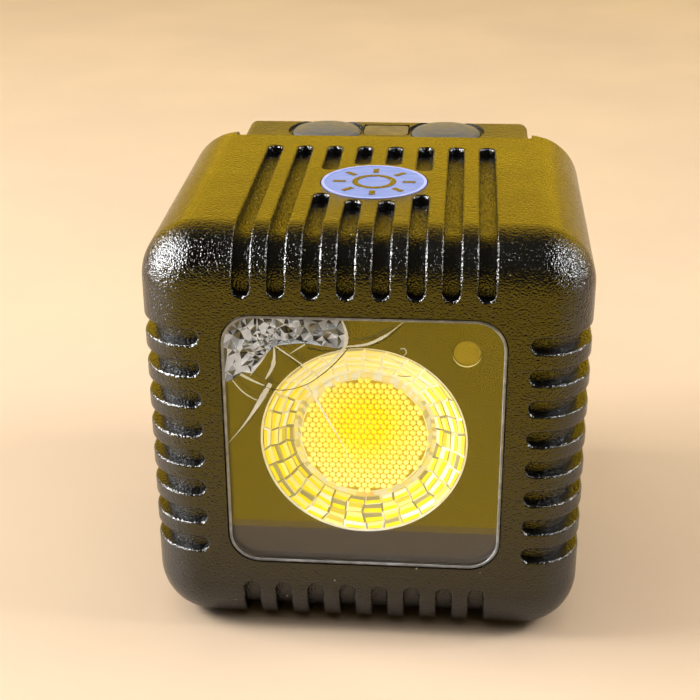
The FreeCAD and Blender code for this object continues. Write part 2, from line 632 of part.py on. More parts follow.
def build_rear_cover():
    body = start_body("cover_moulding")
    half = "cover_width / 2"
    shell_end = "shell_depth + 0.05"
    slab(body, [rectangle(f"-{half}", half, "cover_bottom", "cover_top")], start=shell_end,
         length=f"cube_size - ({shell_end})")
    round_corners(body, "cover_edge")
    rear = size("cube_size")
    round_edges(body, "cover_rear_radius",
                lambda edge: all(abs(corner.Y - rear) < 1e-6 for corner in edge.Vertexes))
    plug = start_body("cover_plug")
    slab(plug, [square("plug_size / 2", MIDDLE)], start="plug_station",
         length="shell_depth + 0.15 - plug_station")
    round_corners(plug, "plug_radius")
    tongue = block("cover_tongue", "cover_width", "shell_depth - notch_station", "3.2", "0",
                   f"{FRONT} + notch_station + slip", "cover_top - 3.2")
    hollow = block("cover_hollow", "cover_cavity_width", "cover_cavity_end - plug_station + 1",
                   "cover_cavity_top - cover_cavity_bottom", "0", f"{FRONT} + plug_station - 1",
                   "cover_cavity_bottom")
    groove = frame_ring("gasket_groove_cut", "plug_size / 2 + 0.2", MIDDLE, "plug_radius + 0.2",
                        "gasket_width + 0.3", "plug_station + 0.4", "gasket_groove")
    solid = join("cover_solid", [plug, body, tongue])
    inside = cut("cover_open", solid, hollow)
    adds = [cylinder("port_boss", "well_boss_radius", "cover_cavity_end - well_start + 0.5", "0",
                     f"{FRONT} + well_start", "port_z")]
    drills = [groove, cylinder("port_well", "well_radius", "cube_size", "0", f"{FRONT} + well_start - 1",
                       "port_z"),
              cylinder("cap_recess", "cap_recess_radius", "4", "0", f"{FRONT} + cap_recess_floor",
                       "port_z"),
              block("indicator_cut", "indicator_width + 2 * slip", "indicator_depth + 2 * slip",
                    "6", "0", f"{FRONT} + indicator_station - indicator_depth / 2 - slip",
                    "cover_top - 4")]
    for k, across in enumerate((-1, 1)):
        adds.append(block(f"button_shelf{k}", "3", "cover_cavity_end - 32.4", "3", f"{across} * 9",
                          f"{FRONT} + 32.5", "button_board_z - 3.04"))
        x = f"{across} * button_x"
        y = f"{FRONT} + button_station"
        drills.append(cylinder(f"dish{k}", "dish_diameter / 2", "2", x, y,
                               "cover_top - dish_depth", "Z"))
        drills.append(cylinder(f"button_bore{k}", "button_diameter / 2 + bore_clearance", "5", x, y,
                               "cover_top - 4", "Z"))
        drills.append(cylinder(f"shelf_pilot{k}", "screw_radius + 0.05", "4",
                               f"{across} * button_screw_x", y, "button_board_z - 2.4", "Z"))
        for m, up in enumerate((-1, 1)):
            x = f"{across} * rear_boss_x"
            z = f"{MIDDLE} + {up} * rear_boss_z"
            y = f"{FRONT} + plug_station"
            adds.append(cylinder(f"screw_tube{k}{m}", "rear_boss_radius - 0.2",
                                 "cover_cavity_end - plug_station + 0.3", x, y, z))
            drills.append(cylinder(f"screw_way{k}{m}", "screw_radius + 0.2", "cube_size", x,
                                   f"{y} - 1", z))
            drills.append(cylinder(f"screw_sink{k}{m}", "screw_head_radius + 0.2", "4", x,
                                   f"{FRONT} + 35.6", z))
            x = f"{across} * post_x"
            z = f"{MIDDLE} + {up} * post_z"
            post_y = "board_station + board_thickness + 0.03"
            adds.append(cylinder(f"board_post{k}{m}", "post_radius",
                                 f"cover_cavity_end + 0.3 - ({post_y})", x,
                                 f"{FRONT} + {post_y}", z))
            drills.append(cylinder(f"post_pilot{k}{m}", "screw_radius + 0.05", "6", x,
                                   f"{FRONT} + {post_y} - 1", z))
    return cut("rear_cover", join("cover_ribbed", [inside] + adds), join("cover_drills", drills))


def build_cover_gasket():
    return frame_ring("cover_gasket", "cube_size / 2 - wall - 0.03", MIDDLE, "cavity_radius - 0.03",
                      "gasket_width", "plug_station + 0.5", "gasket_groove - 0.2")


def build_button(side, across):
    """A domed key with two retaining tabs, its seal ring, and the switch that it presses."""
    x = f"{across} * button_x"
    y = f"{FRONT} + button_station"
    key = start_body(f"button_{side}", x, y)
    radius = "button_diameter / 2"
    profile = [("0", "plunger_top + 0.02"), ("stem_radius", "plunger_top + 0.02"),
               ("stem_radius", "button_flange"), (radius, "button_flange"),
               (radius, "35.2"), (f"{radius} - 0.45", "35.2"), (f"{radius} - 0.45", "36"),
               (radius, "36"), (radius, "button_shoulder - 0.2"),
               (f"{radius} - 0.25", "button_shoulder + 0.05"), (f"{radius} * 0.6", "button_crown - 0.08"),
               (f"{radius} * 0.25", "button_crown"), ("0", "button_crown")]
    add(key, "Revolution", draw(key, "XZ_Plane", [profile]))
    tab = draw(key, "XY_Plane", [rectangle("-button_tab_length / 2", "button_tab_length / 2",
                                           "-button_tab_width / 2", "button_tab_width / 2")],
               offset="button_flange")
    add(key, "Pad", tab, "cover_cavity_top - button_flange - 0.02")
    ring = start_body(f"button_seal_{side}", x, y)
    section = rectangle(f"{radius} - 0.42", f"{radius} + 0.02", "35.25", "35.95")
    add(ring, "Revolution", draw(ring, "XZ_Plane", [section]))
    plunger = start_body(f"plunger_{side}", x, y)
    top = "button_board_z + button_board_thickness + switch_height"
    add(plunger, "Pad", draw(plunger, "XY_Plane", circles=[("0", "0", "stem_radius - 0.1")],
                             offset="plunger_top - 0.85"), "0.85")
    switch = start_body(f"switch_{side}", x, y)
    half = "switch_size / 2"
    low = "button_board_z + button_board_thickness + 0.02"
    add(switch, "Pad", draw(switch, "XY_Plane", [rectangle(f"-{half}", half, f"-{half}", half)],
                            offset=low), f"{top} - ({low})")
    add(switch, "Pocket", draw(switch, "XY_Plane", circles=[("0", "0", "stem_radius")], offset=top),
        "0.95")
    return [key, ring, plunger, switch]


def build_button_board():
    board = start_body("button_board")
    half = "button_board_width / 2"
    holes = [(f"{x} * button_screw_x", "button_station", "screw_radius + 0.05") for x in (-1, 1)]
    outline = draw(board, "XY_Plane", [rectangle(f"-{half}", half, "button_board_start",
                                                 "button_board_end")], holes,
                   offset="button_board_z")
    add(board, "Pad", outline, "button_board_thickness")
    heads = []
    for k, across in enumerate((-1, 1)):
        x = f"{across} * button_screw_x"
        y = f"{FRONT} + button_station"
        top = "button_board_z + button_board_thickness + 0.02"
        heads.append(cylinder(f"key_screw_head{k}", "1", "0.7", x, y, top, "Z"))
        heads.append(cylinder(f"key_screw_shank{k}", "screw_radius", "3", x, y, f"{top} - 3", "Z"))
    screws = join("button_board_screws", heads)
    window = start_body("indicator_window", y=f"{FRONT} + indicator_station")
    width, depth = "indicator_width / 2", "indicator_depth / 2"
    plan = draw(window, "XY_Plane", [rectangle(f"-{width}", width, f"-{depth}", depth)],
                offset="cover_cavity_top - 0.6")
    add(window, "Pad", plan, "cover_top - 0.05 - cover_cavity_top + 0.6")
    round_edges(window, "0.6", lambda edge: runs_along(edge, Vector(0, 0, 1)))
    lamps = [block(f"lamp{k}", "1", "0.6", "0.5", f"{k - 1} * 1.4", f"{FRONT} + indicator_station",
                   "button_board_z + button_board_thickness + 0.02") for k in range(3)]
    flex = start_body("button_flex", x="-2")
    top, bottom, near, far = "32.1", "29.6", "28.3", "26.63"
    strip = [("button_board_start - 0.05", top), (near, top), (near, bottom), (far, bottom),
             (far, f"{bottom} - 0.15"), (f"{near} + 0.15", f"{bottom} - 0.15"),
             (f"{near} + 0.15", f"{top} - 0.15"), ("button_board_start - 0.05", f"{top} - 0.15")]
    add(flex, "Pad", draw(flex, "YZ_Plane", [strip]), "4")
    return [board, screws, window, join("status_lamps", lamps), flex]


def build_port_cap():
    """A coin-slot screw plug that closes the charging port, and its sealing ring."""
    cap = start_body("port_cap", z="port_z")
    floor = "cap_recess_floor + 0.05"
    stub, head = "cap_stub_radius", "cap_head_radius"
    profile = [("0", "cap_front + 1.6"), (f"{stub} - 1.4", "cap_front + 1.6"),
               (f"{stub} - 1.4", "cap_front"), (f"{stub} - 0.3", "cap_front"),
               (stub, "cap_front + 0.3"), (stub, f"{floor} - 0.9"),
               (f"{stub} - 0.7", f"{floor} - 0.9"), (f"{stub} - 0.7", floor), (head, floor),
               (head, "cap_rear - 0.4"), (f"{head} - 0.4", "cap_rear"), ("0", "cap_rear")]
    add(cap, "Revolution", draw(cap, "XY_Plane", [profile]))
    slab(cap, [rectangle("-cap_slot_width / 2", "cap_slot_width / 2", "-4.2", "4.2")],
         kind="Pocket", start="cap_rear - cap_slot_depth", length="2")
    ring = start_body("port_cap_ring", z="port_z")
    section = rectangle(f"{stub} - 0.66", "well_radius - 0.02", f"{floor} - 0.86", f"{floor} - 0.08")
    add(ring, "Revolution", draw(ring, "XY_Plane", [section]))
    return [cap, ring]


# ---------------------------------------------------------------- assembly and output

def build_screws():
    led = [(f"{x} * led_screw_offset", f"{WINDOW_Z} + {z} * led_screw_offset") for x, z in LED_SCREWS]
    plate = [(f"{x} * boss_offset", f"{MIDDLE} + {z} * boss_offset") for x in (-1, 1) for z in (-1, 1)]
    posts = [(f"{x} * post_x", f"{MIDDLE} + {z} * post_z") for x in (-1, 1) for z in (-1, 1)]
    rear = [(f"{x} * rear_boss_x", f"{MIDDLE} + {z} * rear_boss_z") for x in (-1, 1) for z in (-1, 1)]
    return [
        screw_group("led_board_screws", led, "led_board_station - screw_head - 0.02", "3",
                    rear_head=False),
        screw_group("spreader_screws", plate, "spreader_station + spreader_thickness + 0.04", "6"),
        screw_group("board_screws", posts, "board_station - screw_head - 0.02", "5",
                    rear_head=False),
        screw_group("rear_screws", rear, "35.62", "12"),
    ]


def build_all():
    parts = [build_housing(), build_badge(), build_tripod_insert(), build_lens(),
             build_lens_holder(), build_rear_cover(), build_cover_gasket()]
    for group in (build_window(), build_led(), build_heat_path(), build_battery(),
                  build_main_board(), build_leads(), build_button("left", -1),
                  build_button("right", 1), build_button_board(), build_port_cap(),
                  build_screws()):
        parts += group
    return parts


def write_parts(parts):
    doc.recompute()
    for item in doc.Objects:
        if "Invalid" in item.State or "Error" in item.State:
            raise RuntimeError(f"{item.Label} did not build: {item.State}")
    for part in parts:
        if part.Shape.isNull() or not part.Shape.isValid() or not part.Shape.Solids:
            raise RuntimeError(f"{part.Label} has no sound solid")
    os.makedirs("parts", exist_ok=True)
    for part in parts:
        part.Shape.exportStep(f"parts/{part.Label}.step")
        box = part.Shape.BoundBox
        print(f"{part.Label:22s} solids {len(part.Shape.Solids)} volume {part.Shape.Volume:9.2f}"
              f"  x {box.XMin:6.2f} {box.XMax:6.2f}  y {box.YMin:6.2f} {box.YMax:6.2f}"
              f"  z {box.ZMin:6.2f} {box.ZMax:6.2f}")


write_parts(build_all())
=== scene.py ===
# A pocket cube light dressed for the eye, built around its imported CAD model. Lengths are metres.
import math
import random

import bmesh
import bpy
from mathutils import Euler, Matrix, Vector, geometry


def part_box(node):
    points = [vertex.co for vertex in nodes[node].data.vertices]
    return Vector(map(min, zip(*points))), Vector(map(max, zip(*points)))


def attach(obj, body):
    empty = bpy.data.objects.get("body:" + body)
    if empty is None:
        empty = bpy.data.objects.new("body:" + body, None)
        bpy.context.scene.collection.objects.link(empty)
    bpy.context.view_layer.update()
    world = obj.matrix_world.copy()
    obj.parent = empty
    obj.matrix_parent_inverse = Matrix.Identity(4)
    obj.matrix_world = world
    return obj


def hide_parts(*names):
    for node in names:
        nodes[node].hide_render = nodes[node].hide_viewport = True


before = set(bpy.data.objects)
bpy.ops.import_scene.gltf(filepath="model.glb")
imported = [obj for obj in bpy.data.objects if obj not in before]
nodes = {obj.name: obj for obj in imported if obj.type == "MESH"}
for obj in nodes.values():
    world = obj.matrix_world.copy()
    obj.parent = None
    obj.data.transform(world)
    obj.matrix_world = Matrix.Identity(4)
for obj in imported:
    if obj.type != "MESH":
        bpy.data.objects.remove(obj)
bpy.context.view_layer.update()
MM = 0.001


# ---------------------------------------------------------------- housing
# Cast aluminium cube, ribbed all round for cooling, in gloss black paint with a fine pebbled
# texture. Its gloss wanders in patches and it carries a little stray dust.
def new_material(name, colour, roughness=0.5, metallic=0.0, specular=0.5):
    material = bpy.data.materials.new(name)
    material.use_nodes = True
    shader = material.node_tree.nodes["Principled BSDF"]
    shader.inputs["Base Color"].default_value = (*colour, 1.0)
    shader.inputs["Roughness"].default_value = roughness
    shader.inputs["Metallic"].default_value = metallic
    shader.inputs["Specular IOR Level"].default_value = specular
    return material


def add_node(material, kind, **settings):
    node = material.node_tree.nodes.new(kind)
    for name, value in settings.items():
        setattr(node, name, value)
    return node


def wire(material, source, target):
    material.node_tree.links.new(source, target)


def shader_of(material):
    return material.node_tree.nodes["Principled BSDF"]


def add_bump(material, height, distance, strength=1.0):
    """Let a height source ruffle a material's surface."""
    ridge = add_node(material, "ShaderNodeBump")
    ridge.inputs["Distance"].default_value = distance
    ridge.inputs["Strength"].default_value = strength
    wire(material, height, ridge.inputs["Height"])
    wire(material, ridge.outputs["Normal"], shader_of(material).inputs["Normal"])


def add_range(material, value, low, high, to_low, to_high):
    """Stretch a value from one range to another and return the socket that gives it."""
    stretch = add_node(material, "ShaderNodeMapRange")
    for name, number in (("From Min", low), ("From Max", high), ("To Min", to_low), ("To Max", to_high)):
        stretch.inputs[name].default_value = number
    wire(material, value, stretch.inputs["Value"])
    return stretch.outputs["Result"]


def make_group(name, inputs, outputs):
    """An empty shader group with named sockets, and its two end nodes."""
    group = bpy.data.node_groups.new(name, "ShaderNodeTree")
    for label, kind, value in inputs:
        socket = group.interface.new_socket(name=label, in_out="INPUT", socket_type=kind)
        if value is not None:
            socket.default_value = value
    for label, kind in outputs:
        group.interface.new_socket(name=label, in_out="OUTPUT", socket_type=kind)
    start = group.nodes.new("NodeGroupInput")
    end = group.nodes.new("NodeGroupOutput")
    return group, start, end


def build_pebble_group():
    """Pebbled skin: a height of rounded grains, a roughness that wanders, and stray dust."""
    group, start, end = make_group(
        "pebbled_skin",
        [("Grain Size", "NodeSocketFloat", 0.0002), ("Smooth Roughness", "NodeSocketFloat", 0.2),
         ("Rough Roughness", "NodeSocketFloat", 0.4), ("Dust Density", "NodeSocketFloat", 420.0)],
        [("Height", "NodeSocketFloat"), ("Roughness", "NodeSocketFloat"), ("Dust", "NodeSocketFloat")])
    link = group.links.new
    place = group.nodes.new("ShaderNodeTexCoord")
    frequency = group.nodes.new("ShaderNodeMath")
    frequency.operation = "DIVIDE"
    frequency.inputs[0].default_value = 1.0
    link(start.outputs["Grain Size"], frequency.inputs[1])
    grains = group.nodes.new("ShaderNodeTexVoronoi")
    grains.feature = "SMOOTH_F1"
    grains.inputs["Smoothness"].default_value = 0.35
    link(place.outputs["Object"], grains.inputs["Vector"])
    link(frequency.outputs[0], grains.inputs["Scale"])
    swell = group.nodes.new("ShaderNodeTexNoise")
    swell.inputs["Scale"].default_value = 4200.0
    swell.inputs["Detail"].default_value = 3.0
    link(place.outputs["Object"], swell.inputs["Vector"])
    height = group.nodes.new("ShaderNodeMath")
    height.operation = "SUBTRACT"
    link(swell.outputs["Fac"], height.inputs[0])
    link(grains.outputs["Distance"], height.inputs[1])
    link(height.outputs[0], end.inputs["Height"])
    patches = group.nodes.new("ShaderNodeTexNoise")
    patches.inputs["Scale"].default_value = 160.0
    patches.inputs["Detail"].default_value = 5.0
    link(place.outputs["Object"], patches.inputs["Vector"])
    rough = group.nodes.new("ShaderNodeMapRange")
    rough.inputs["From Min"].default_value = 0.35
    rough.inputs["From Max"].default_value = 0.65
    link(patches.outputs["Fac"], rough.inputs["Value"])
    link(start.outputs["Smooth Roughness"], rough.inputs["To Min"])
    link(start.outputs["Rough Roughness"], rough.inputs["To Max"])
    link(rough.outputs["Result"], end.inputs["Roughness"])
    specks = group.nodes.new("ShaderNodeTexVoronoi")
    link(start.outputs["Dust Density"], specks.inputs["Scale"])
    link(place.outputs["Object"], specks.inputs["Vector"])
    dust = group.nodes.new("ShaderNodeMapRange")
    dust.inputs["From Min"].default_value = 0.040
    dust.inputs["From Max"].default_value = 0.025
    link(specks.outputs["Distance"], dust.inputs["Value"])
    link(dust.outputs["Result"], end.inputs["Dust"])
    return group


PEBBLES = build_pebble_group()


def add_pebbles(material, grain, smooth, rough, bump, density=420.0):
    """Put the pebbled skin under a material's shader: bump and roughness."""
    group = add_node(material, "ShaderNodeGroup", node_tree=PEBBLES)
    for name, value in (("Grain Size", grain), ("Smooth Roughness", smooth),
                        ("Rough Roughness", rough), ("Dust Density", density)):
        group.inputs[name].default_value = value
    add_bump(material, group.outputs["Height"], grain * 0.36, bump)
    wire(material, group.outputs["Roughness"], shader_of(material).inputs["Roughness"])
    return group


def dusty_colour(material, group, colour, dust=(0.50, 0.45, 0.33)):
    mix = add_node(material, "ShaderNodeMix", data_type="RGBA")
    mix.inputs[6].default_value = (*colour, 1.0)
    mix.inputs[7].default_value = (*dust, 1.0)
    wire(material, group.outputs["Dust"], mix.inputs[0])
    wire(material, mix.outputs[2], shader_of(material).inputs["Base Color"])


def finish(material, *names):
    """Give one finish to CAD solids, whose meshes stay as they are."""
    for name in names:
        mesh = nodes[name].data
        mesh.materials.clear()
        mesh.materials.append(material)


def new_piece(name, mesh, material, body="housing", smooth=False):
    """A finished piece at the origin, riding on one body of the light."""
    piece = bpy.data.objects.new(name, mesh)
    bpy.context.scene.collection.objects.link(piece)
    if material:
        mesh.materials.clear()
        mesh.materials.append(material)
    for face in mesh.polygons:
        face.use_smooth = smooth
    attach(piece, body)
    return piece


PAINT_BLACK = (0.006, 0.0055, 0.005)
housing_paint = new_material("housing_paint", PAINT_BLACK, specular=0.5)
skin = add_pebbles(housing_paint, 0.00016, 0.10, 0.17, 1.0)
dusty_colour(housing_paint, skin, PAINT_BLACK)
finish(housing_paint, "housing_shell")


# ---------------------------------------------------------------- badge
# Thin blue disc of anodised aluminium, bonded in a shallow seat on the top, with a plain sun
# sign for brightness left dark in it. The sign is generic: a ring and eight rays.
def build_grain_group():
    """Quiet surface variation for small parts: a tinted colour, a roughness and a height."""
    group, start, end = make_group(
        "worked_surface",
        [("Colour", "NodeSocketColor", (0.5, 0.5, 0.5, 1.0)), ("Second Colour", "NodeSocketColor", None),
         ("Grain Scale", "NodeSocketFloat", 900.0), ("Stretch", "NodeSocketVector", (1.0, 1.0, 1.0)),
         ("Low Roughness", "NodeSocketFloat", 0.3), ("High Roughness", "NodeSocketFloat", 0.5)],
        [("Colour", "NodeSocketColor"), ("Roughness", "NodeSocketFloat"), ("Height", "NodeSocketFloat")])
    link = group.links.new
    place = group.nodes.new("ShaderNodeTexCoord")
    pull = group.nodes.new("ShaderNodeVectorMath")
    pull.operation = "MULTIPLY"
    link(place.outputs["Object"], pull.inputs[0])
    link(start.outputs["Stretch"], pull.inputs[1])
    grain = group.nodes.new("ShaderNodeTexNoise")
    grain.inputs["Detail"].default_value = 4.0
    link(pull.outputs[0], grain.inputs["Vector"])
    link(start.outputs["Grain Scale"], grain.inputs["Scale"])
    spread = group.nodes.new("ShaderNodeMapRange")
    spread.inputs["From Min"].default_value = 0.35
    spread.inputs["From Max"].default_value = 0.65
    link(grain.outputs["Fac"], spread.inputs["Value"])
    tint = group.nodes.new("ShaderNodeMix")
    tint.data_type = "RGBA"
    link(spread.outputs["Result"], tint.inputs[0])
    link(start.outputs["Colour"], tint.inputs[6])
    link(start.outputs["Second Colour"], tint.inputs[7])
    link(tint.outputs[2], end.inputs["Colour"])
    rough = group.nodes.new("ShaderNodeMapRange")
    link(spread.outputs["Result"], rough.inputs["Value"])
    link(start.outputs["Low Roughness"], rough.inputs["To Min"])
    link(start.outputs["High Roughness"], rough.inputs["To Max"])
    link(rough.outputs["Result"], end.inputs["Roughness"])
    link(spread.outputs["Result"], end.inputs["Height"])
    return group


GRAIN = build_grain_group()


def worked_material(name, colour, second, scale, roughness, metallic=0.0, stretch=(1, 1, 1), relief=0.0):
    """A finish whose colour, roughness and height wander together over the piece."""
    material = new_material(name, colour, metallic=metallic)
    group = add_node(material, "ShaderNodeGroup", node_tree=GRAIN)
    group.inputs["Colour"].default_value = (*colour, 1.0)
    group.inputs["Second Colour"].default_value = (*second, 1.0)
    group.inputs["Grain Scale"].default_value = scale
    group.inputs["Stretch"].default_value = stretch
    group.inputs["Low Roughness"].default_value = roughness[0]
    group.inputs["High Roughness"].default_value = roughness[1]
    wire(material, group.outputs["Colour"], shader_of(material).inputs["Base Color"])
    wire(material, group.outputs["Roughness"], shader_of(material).inputs["Roughness"])
    if relief:
        add_bump(material, group.outputs["Height"], relief)
    return material


def block_at(shape, size, place, turn=0.0):
    """A plain bar of the given size, turned about the upright, added to a mesh in making."""
    move = Matrix.Translation(place) @ Matrix.Rotation(turn, 4, "Z") @ Matrix.Diagonal((*size, 1.0))
    bmesh.ops.create_cube(shape, size=1.0, matrix=move)


def skin_rows(shape, rows, closed=False):
    """Lay faces between neighbouring rings of corners, capping the ends unless the rows close."""
    for row, after in zip(rows, rows[1:] + (rows[:1] if closed else [])):
        for i in range(len(row)):
            j = (i + 1) % len(row)
            shape.faces.new((row[i], row[j], after[j], after[i]))
    if not closed:
        shape.faces.new(rows[0])
        shape.faces.new(rows[-1])


def flat_ring(shape, centre, inner, outer, low, high, steps=64):
    """A washer-shaped ring standing on the upright axis."""
    rows = []
    for radius, level in ((inner, low), (outer, low), (outer, high), (inner, high)):
        rows.append([shape.verts.new((centre[0] + radius * math.cos(2 * math.pi * i / steps),
                                      centre[1] + radius * math.sin(2 * math.pi * i / steps), level))
                     for i in range(steps)])
    skin_rows(shape, rows, closed=True)


def mesh_from(shape, name, merge=True):
    """Close a mesh in making: merge doubles, turn the faces outwards and store it."""
    if merge:
        bmesh.ops.remove_doubles(shape, verts=shape.verts, dist=1e-7)
    bmesh.ops.recalc_face_normals(shape, faces=shape.faces)
    mesh = bpy.data.meshes.new(name)
    shape.to_mesh(mesh)
    shape.free()
    return mesh


def middle_of(name):
    low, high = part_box(name)
    return [(a + b) / 2 for a, b in zip(low, high)], low, high


badge_blue = worked_material("badge_blue", (0.19, 0.28, 0.66), (0.15, 0.23, 0.58), 700, (0.45, 0.6),
                             stretch=(1, 6, 1))
finish(badge_blue, "badge")
badge_middle, badge_low, badge_high = middle_of("badge")
sign = bmesh.new()
SIGN_LOW = badge_high[2] - 0.05 * MM
SIGN_HIGH = badge_high[2] + 0.03 * MM
RAY_COUNT = 8
RAY_REACH = 3.1 * MM
flat_ring(sign, badge_middle, 1.45 * MM, 1.95 * MM, SIGN_LOW, SIGN_HIGH)
for step in range(RAY_COUNT):
    turn = 2 * math.pi * step / RAY_COUNT
    arm = Vector((math.cos(turn), math.sin(turn), 0.0)) * RAY_REACH
    block_at(sign, (1.15 * MM, 0.5 * MM, SIGN_HIGH - SIGN_LOW),
             Vector((badge_middle[0], badge_middle[1], (SIGN_LOW + SIGN_HIGH) / 2)) + arm, turn)
new_piece("badge_sun_sign", mesh_from(sign, "badge_sun_sign"), housing_paint)
badge_rim = worked_material("badge_rim", (0.38, 0.46, 0.90), (0.30, 0.38, 0.82), 900, (0.3, 0.4))
edge = bmesh.new()
flat_ring(edge, badge_middle, 4.42 * MM, 4.68 * MM, SIGN_LOW, SIGN_HIGH + 0.01 * MM, 96)
new_piece("badge_edge", mesh_from(edge, "badge_edge"), badge_rim)


# ---------------------------------------------------------------- tripod insert
# Brass bush moulded into the underside for a quarter-inch camera screw. Its thread is a
# rounded ridge that climbs the bore at 1.27 mm a turn.
brass = worked_material("brass", (0.62, 0.42, 0.14), (0.50, 0.33, 0.11), 1200, (0.22, 0.36),
                        metallic=1.0, stretch=(1, 1, 5))
finish(brass, "tripod_insert")
insert_middle, insert_low, insert_high = middle_of("tripod_insert")
BORE = 2.6 * MM
PITCH = 1.27 * MM
thread = bmesh.new()
section = ((BORE + 0.12 * MM, -0.55), (BORE - 0.34 * MM, -0.10), (BORE - 0.34 * MM, 0.10),
           (BORE + 0.12 * MM, 0.55))
TURN_STEPS = 40
turns = (insert_high[2] - insert_low[2]) / PITCH - 1.0
rings = []
for step in range(int(turns * TURN_STEPS) + 1):
    turn = 2 * math.pi * step / TURN_STEPS
    level = insert_low[2] + PITCH * (0.6 + step / TURN_STEPS)
    rings.append([thread.verts.new((insert_middle[0] + radius * math.cos(turn),
                                    insert_middle[1] + radius * math.sin(turn),
                                    level + rise * PITCH)) for radius, rise in section])
skin_rows(thread, rings)
new_piece("tripod_thread", mesh_from(thread, "tripod_thread"), brass)


# ---------------------------------------------------------------- window pane
# Rounded-square pane of hardened glass, bonded on a rubber frame over a black printed mask.
# A knock near its top left corner crushed the glass there and sent cracks across the pane.
window_middle, window_low, window_high = middle_of("window_glass")
PANE_HALF = (window_high[0] - window_low[0]) / 2
PANE_RADIUS = 2.7 * MM
PANE_FRONT = window_low[1]
PANE_BACK = window_high[1]


def pane_point(across, up, depth=0.0):
    """A place on the pane, in millimetres right of and above its middle, behind its face."""
    return Vector((window_middle[0] + across * MM, PANE_FRONT + depth * MM, window_middle[2] + up * MM))


def rounded_square(half, radius, steps=12):
    """Outline of a rounded square in the pane's plane, from the left edge clockwise."""
    path = []
    for turn, side_x, side_z in ((180, -1, 1), (90, 1, 1), (0, 1, -1), (-90, -1, -1)):
        for step in range(steps + 1):
            angle = math.radians(turn - 90 * step / steps)
            path.append((side_x * (half - radius) + radius * math.cos(angle),
                         side_z * (half - radius) + radius * math.sin(angle)))
    return path


glass = new_material("window_glass", (0.97, 0.98, 0.96), 0.0)
shader_of(glass).inputs["Transmission Weight"].default_value = 1.0
shader_of(glass).inputs["IOR"].default_value = 1.5
rays = add_node(glass, "ShaderNodeLightPath")
wire(glass, add_range(glass, rays.outputs["Is Shadow Ray"], 0.0, 1.0, 1.0, 0.06),
     shader_of(glass).inputs["Alpha"])
smear = add_node(glass, "ShaderNodeTexNoise")
smear.inputs["Scale"].default_value = 240.0
wire(glass, add_range(glass, smear.outputs["Fac"], 0.0, 1.0, 0.0, 0.008),
     shader_of(glass).inputs["Roughness"])

BREAK_LINE = [(-1.8, 11.5), (-1.5, 10.4), (-1.4, 9.4), (-2.1, 9.1), (-3.4, 9.3), (-4.8, 9.5), (-6.0, 9.4),
              (-7.3, 9.2), (-7.9, 8.6), (-8.6, 7.6), (-9.4, 6.6), (-10.2, 6.7), (-11.0, 6.0), (-11.6, 5.7)]
BREAK_RIGHT = -1.8
BREAK_LOW = 5.7
outline = [(x / MM, z / MM) for x, z in rounded_square(PANE_HALF, PANE_RADIUS)]
kept = [p for p in outline if not (p[0] < BREAK_RIGHT and p[1] > BREAK_LOW)]
first_kept = next(i for i, p in enumerate(kept) if p[0] > BREAK_RIGHT and p[1] > 11.0)
around = kept[first_kept:] + kept[:first_kept]
edge_path = ([(BREAK_RIGHT, PANE_HALF / MM)] + around + [(-PANE_HALF / MM, BREAK_LOW)]
             + BREAK_LINE[::-1])
ring_edges = [(i, (i + 1) % len(edge_path)) for i in range(len(edge_path))]
flat, _, flat_faces = geometry.delaunay_2d_cdt([Vector(p) for p in edge_path], ring_edges, [], 1, 1e-5)[:3]
pane = bmesh.new()
front = [pane.verts.new(pane_point(x, z)) for x, z in flat]
back = [pane.verts.new(pane_point(x, z, (PANE_BACK - PANE_FRONT) / MM)) for x, z in flat]
for corners in flat_faces:
    pane.faces.new([front[i] for i in corners])
    pane.faces.new([back[i] for i in reversed(corners)])
for i, j in ring_edges:
    pane.faces.new((front[i], front[j], back[j], back[i]))
pane_piece = new_piece("window_pane", mesh_from(pane, "window_pane"), glass)
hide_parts("window_glass")

ground_edge = worked_material("ground_glass_edge", (0.34, 0.36, 0.39), (0.13, 0.14, 0.15), 1500, (0.15, 0.35))
rim = bmesh.new()
rows = []
for inset, depth in ((0.0, -0.02), (0.16, -0.05), (0.24, 0.02), (0.0, 0.2)):
    path = rounded_square(PANE_HALF - inset * MM, PANE_RADIUS - inset * MM)
    rows.append([rim.verts.new(pane_point(x / MM, z / MM, depth)) for x, z in path])
skin_rows(rim, rows, closed=True)
new_piece("window_edge", mesh_from(rim, "window_edge"), ground_edge)

mask_black = worked_material("mask_black", (0.004, 0.003, 0.002), (0.005, 0.004, 0.002), 1800, (0.35, 0.4))
shader_of(mask_black).inputs["Specular IOR Level"].default_value = 0.1
finish(mask_black, "window_mask")
finish(glass, "window_glass")
seal_rubber = worked_material("seal_rubber", (0.012, 0.012, 0.012), (0.03, 0.03, 0.03), 2400, (0.5, 0.7),
                              relief=0.00001)
finish(seal_rubber, "window_gasket", "battery_pad", "cover_gasket", "port_cap_ring",
       "button_seal_left", "button_seal_right")
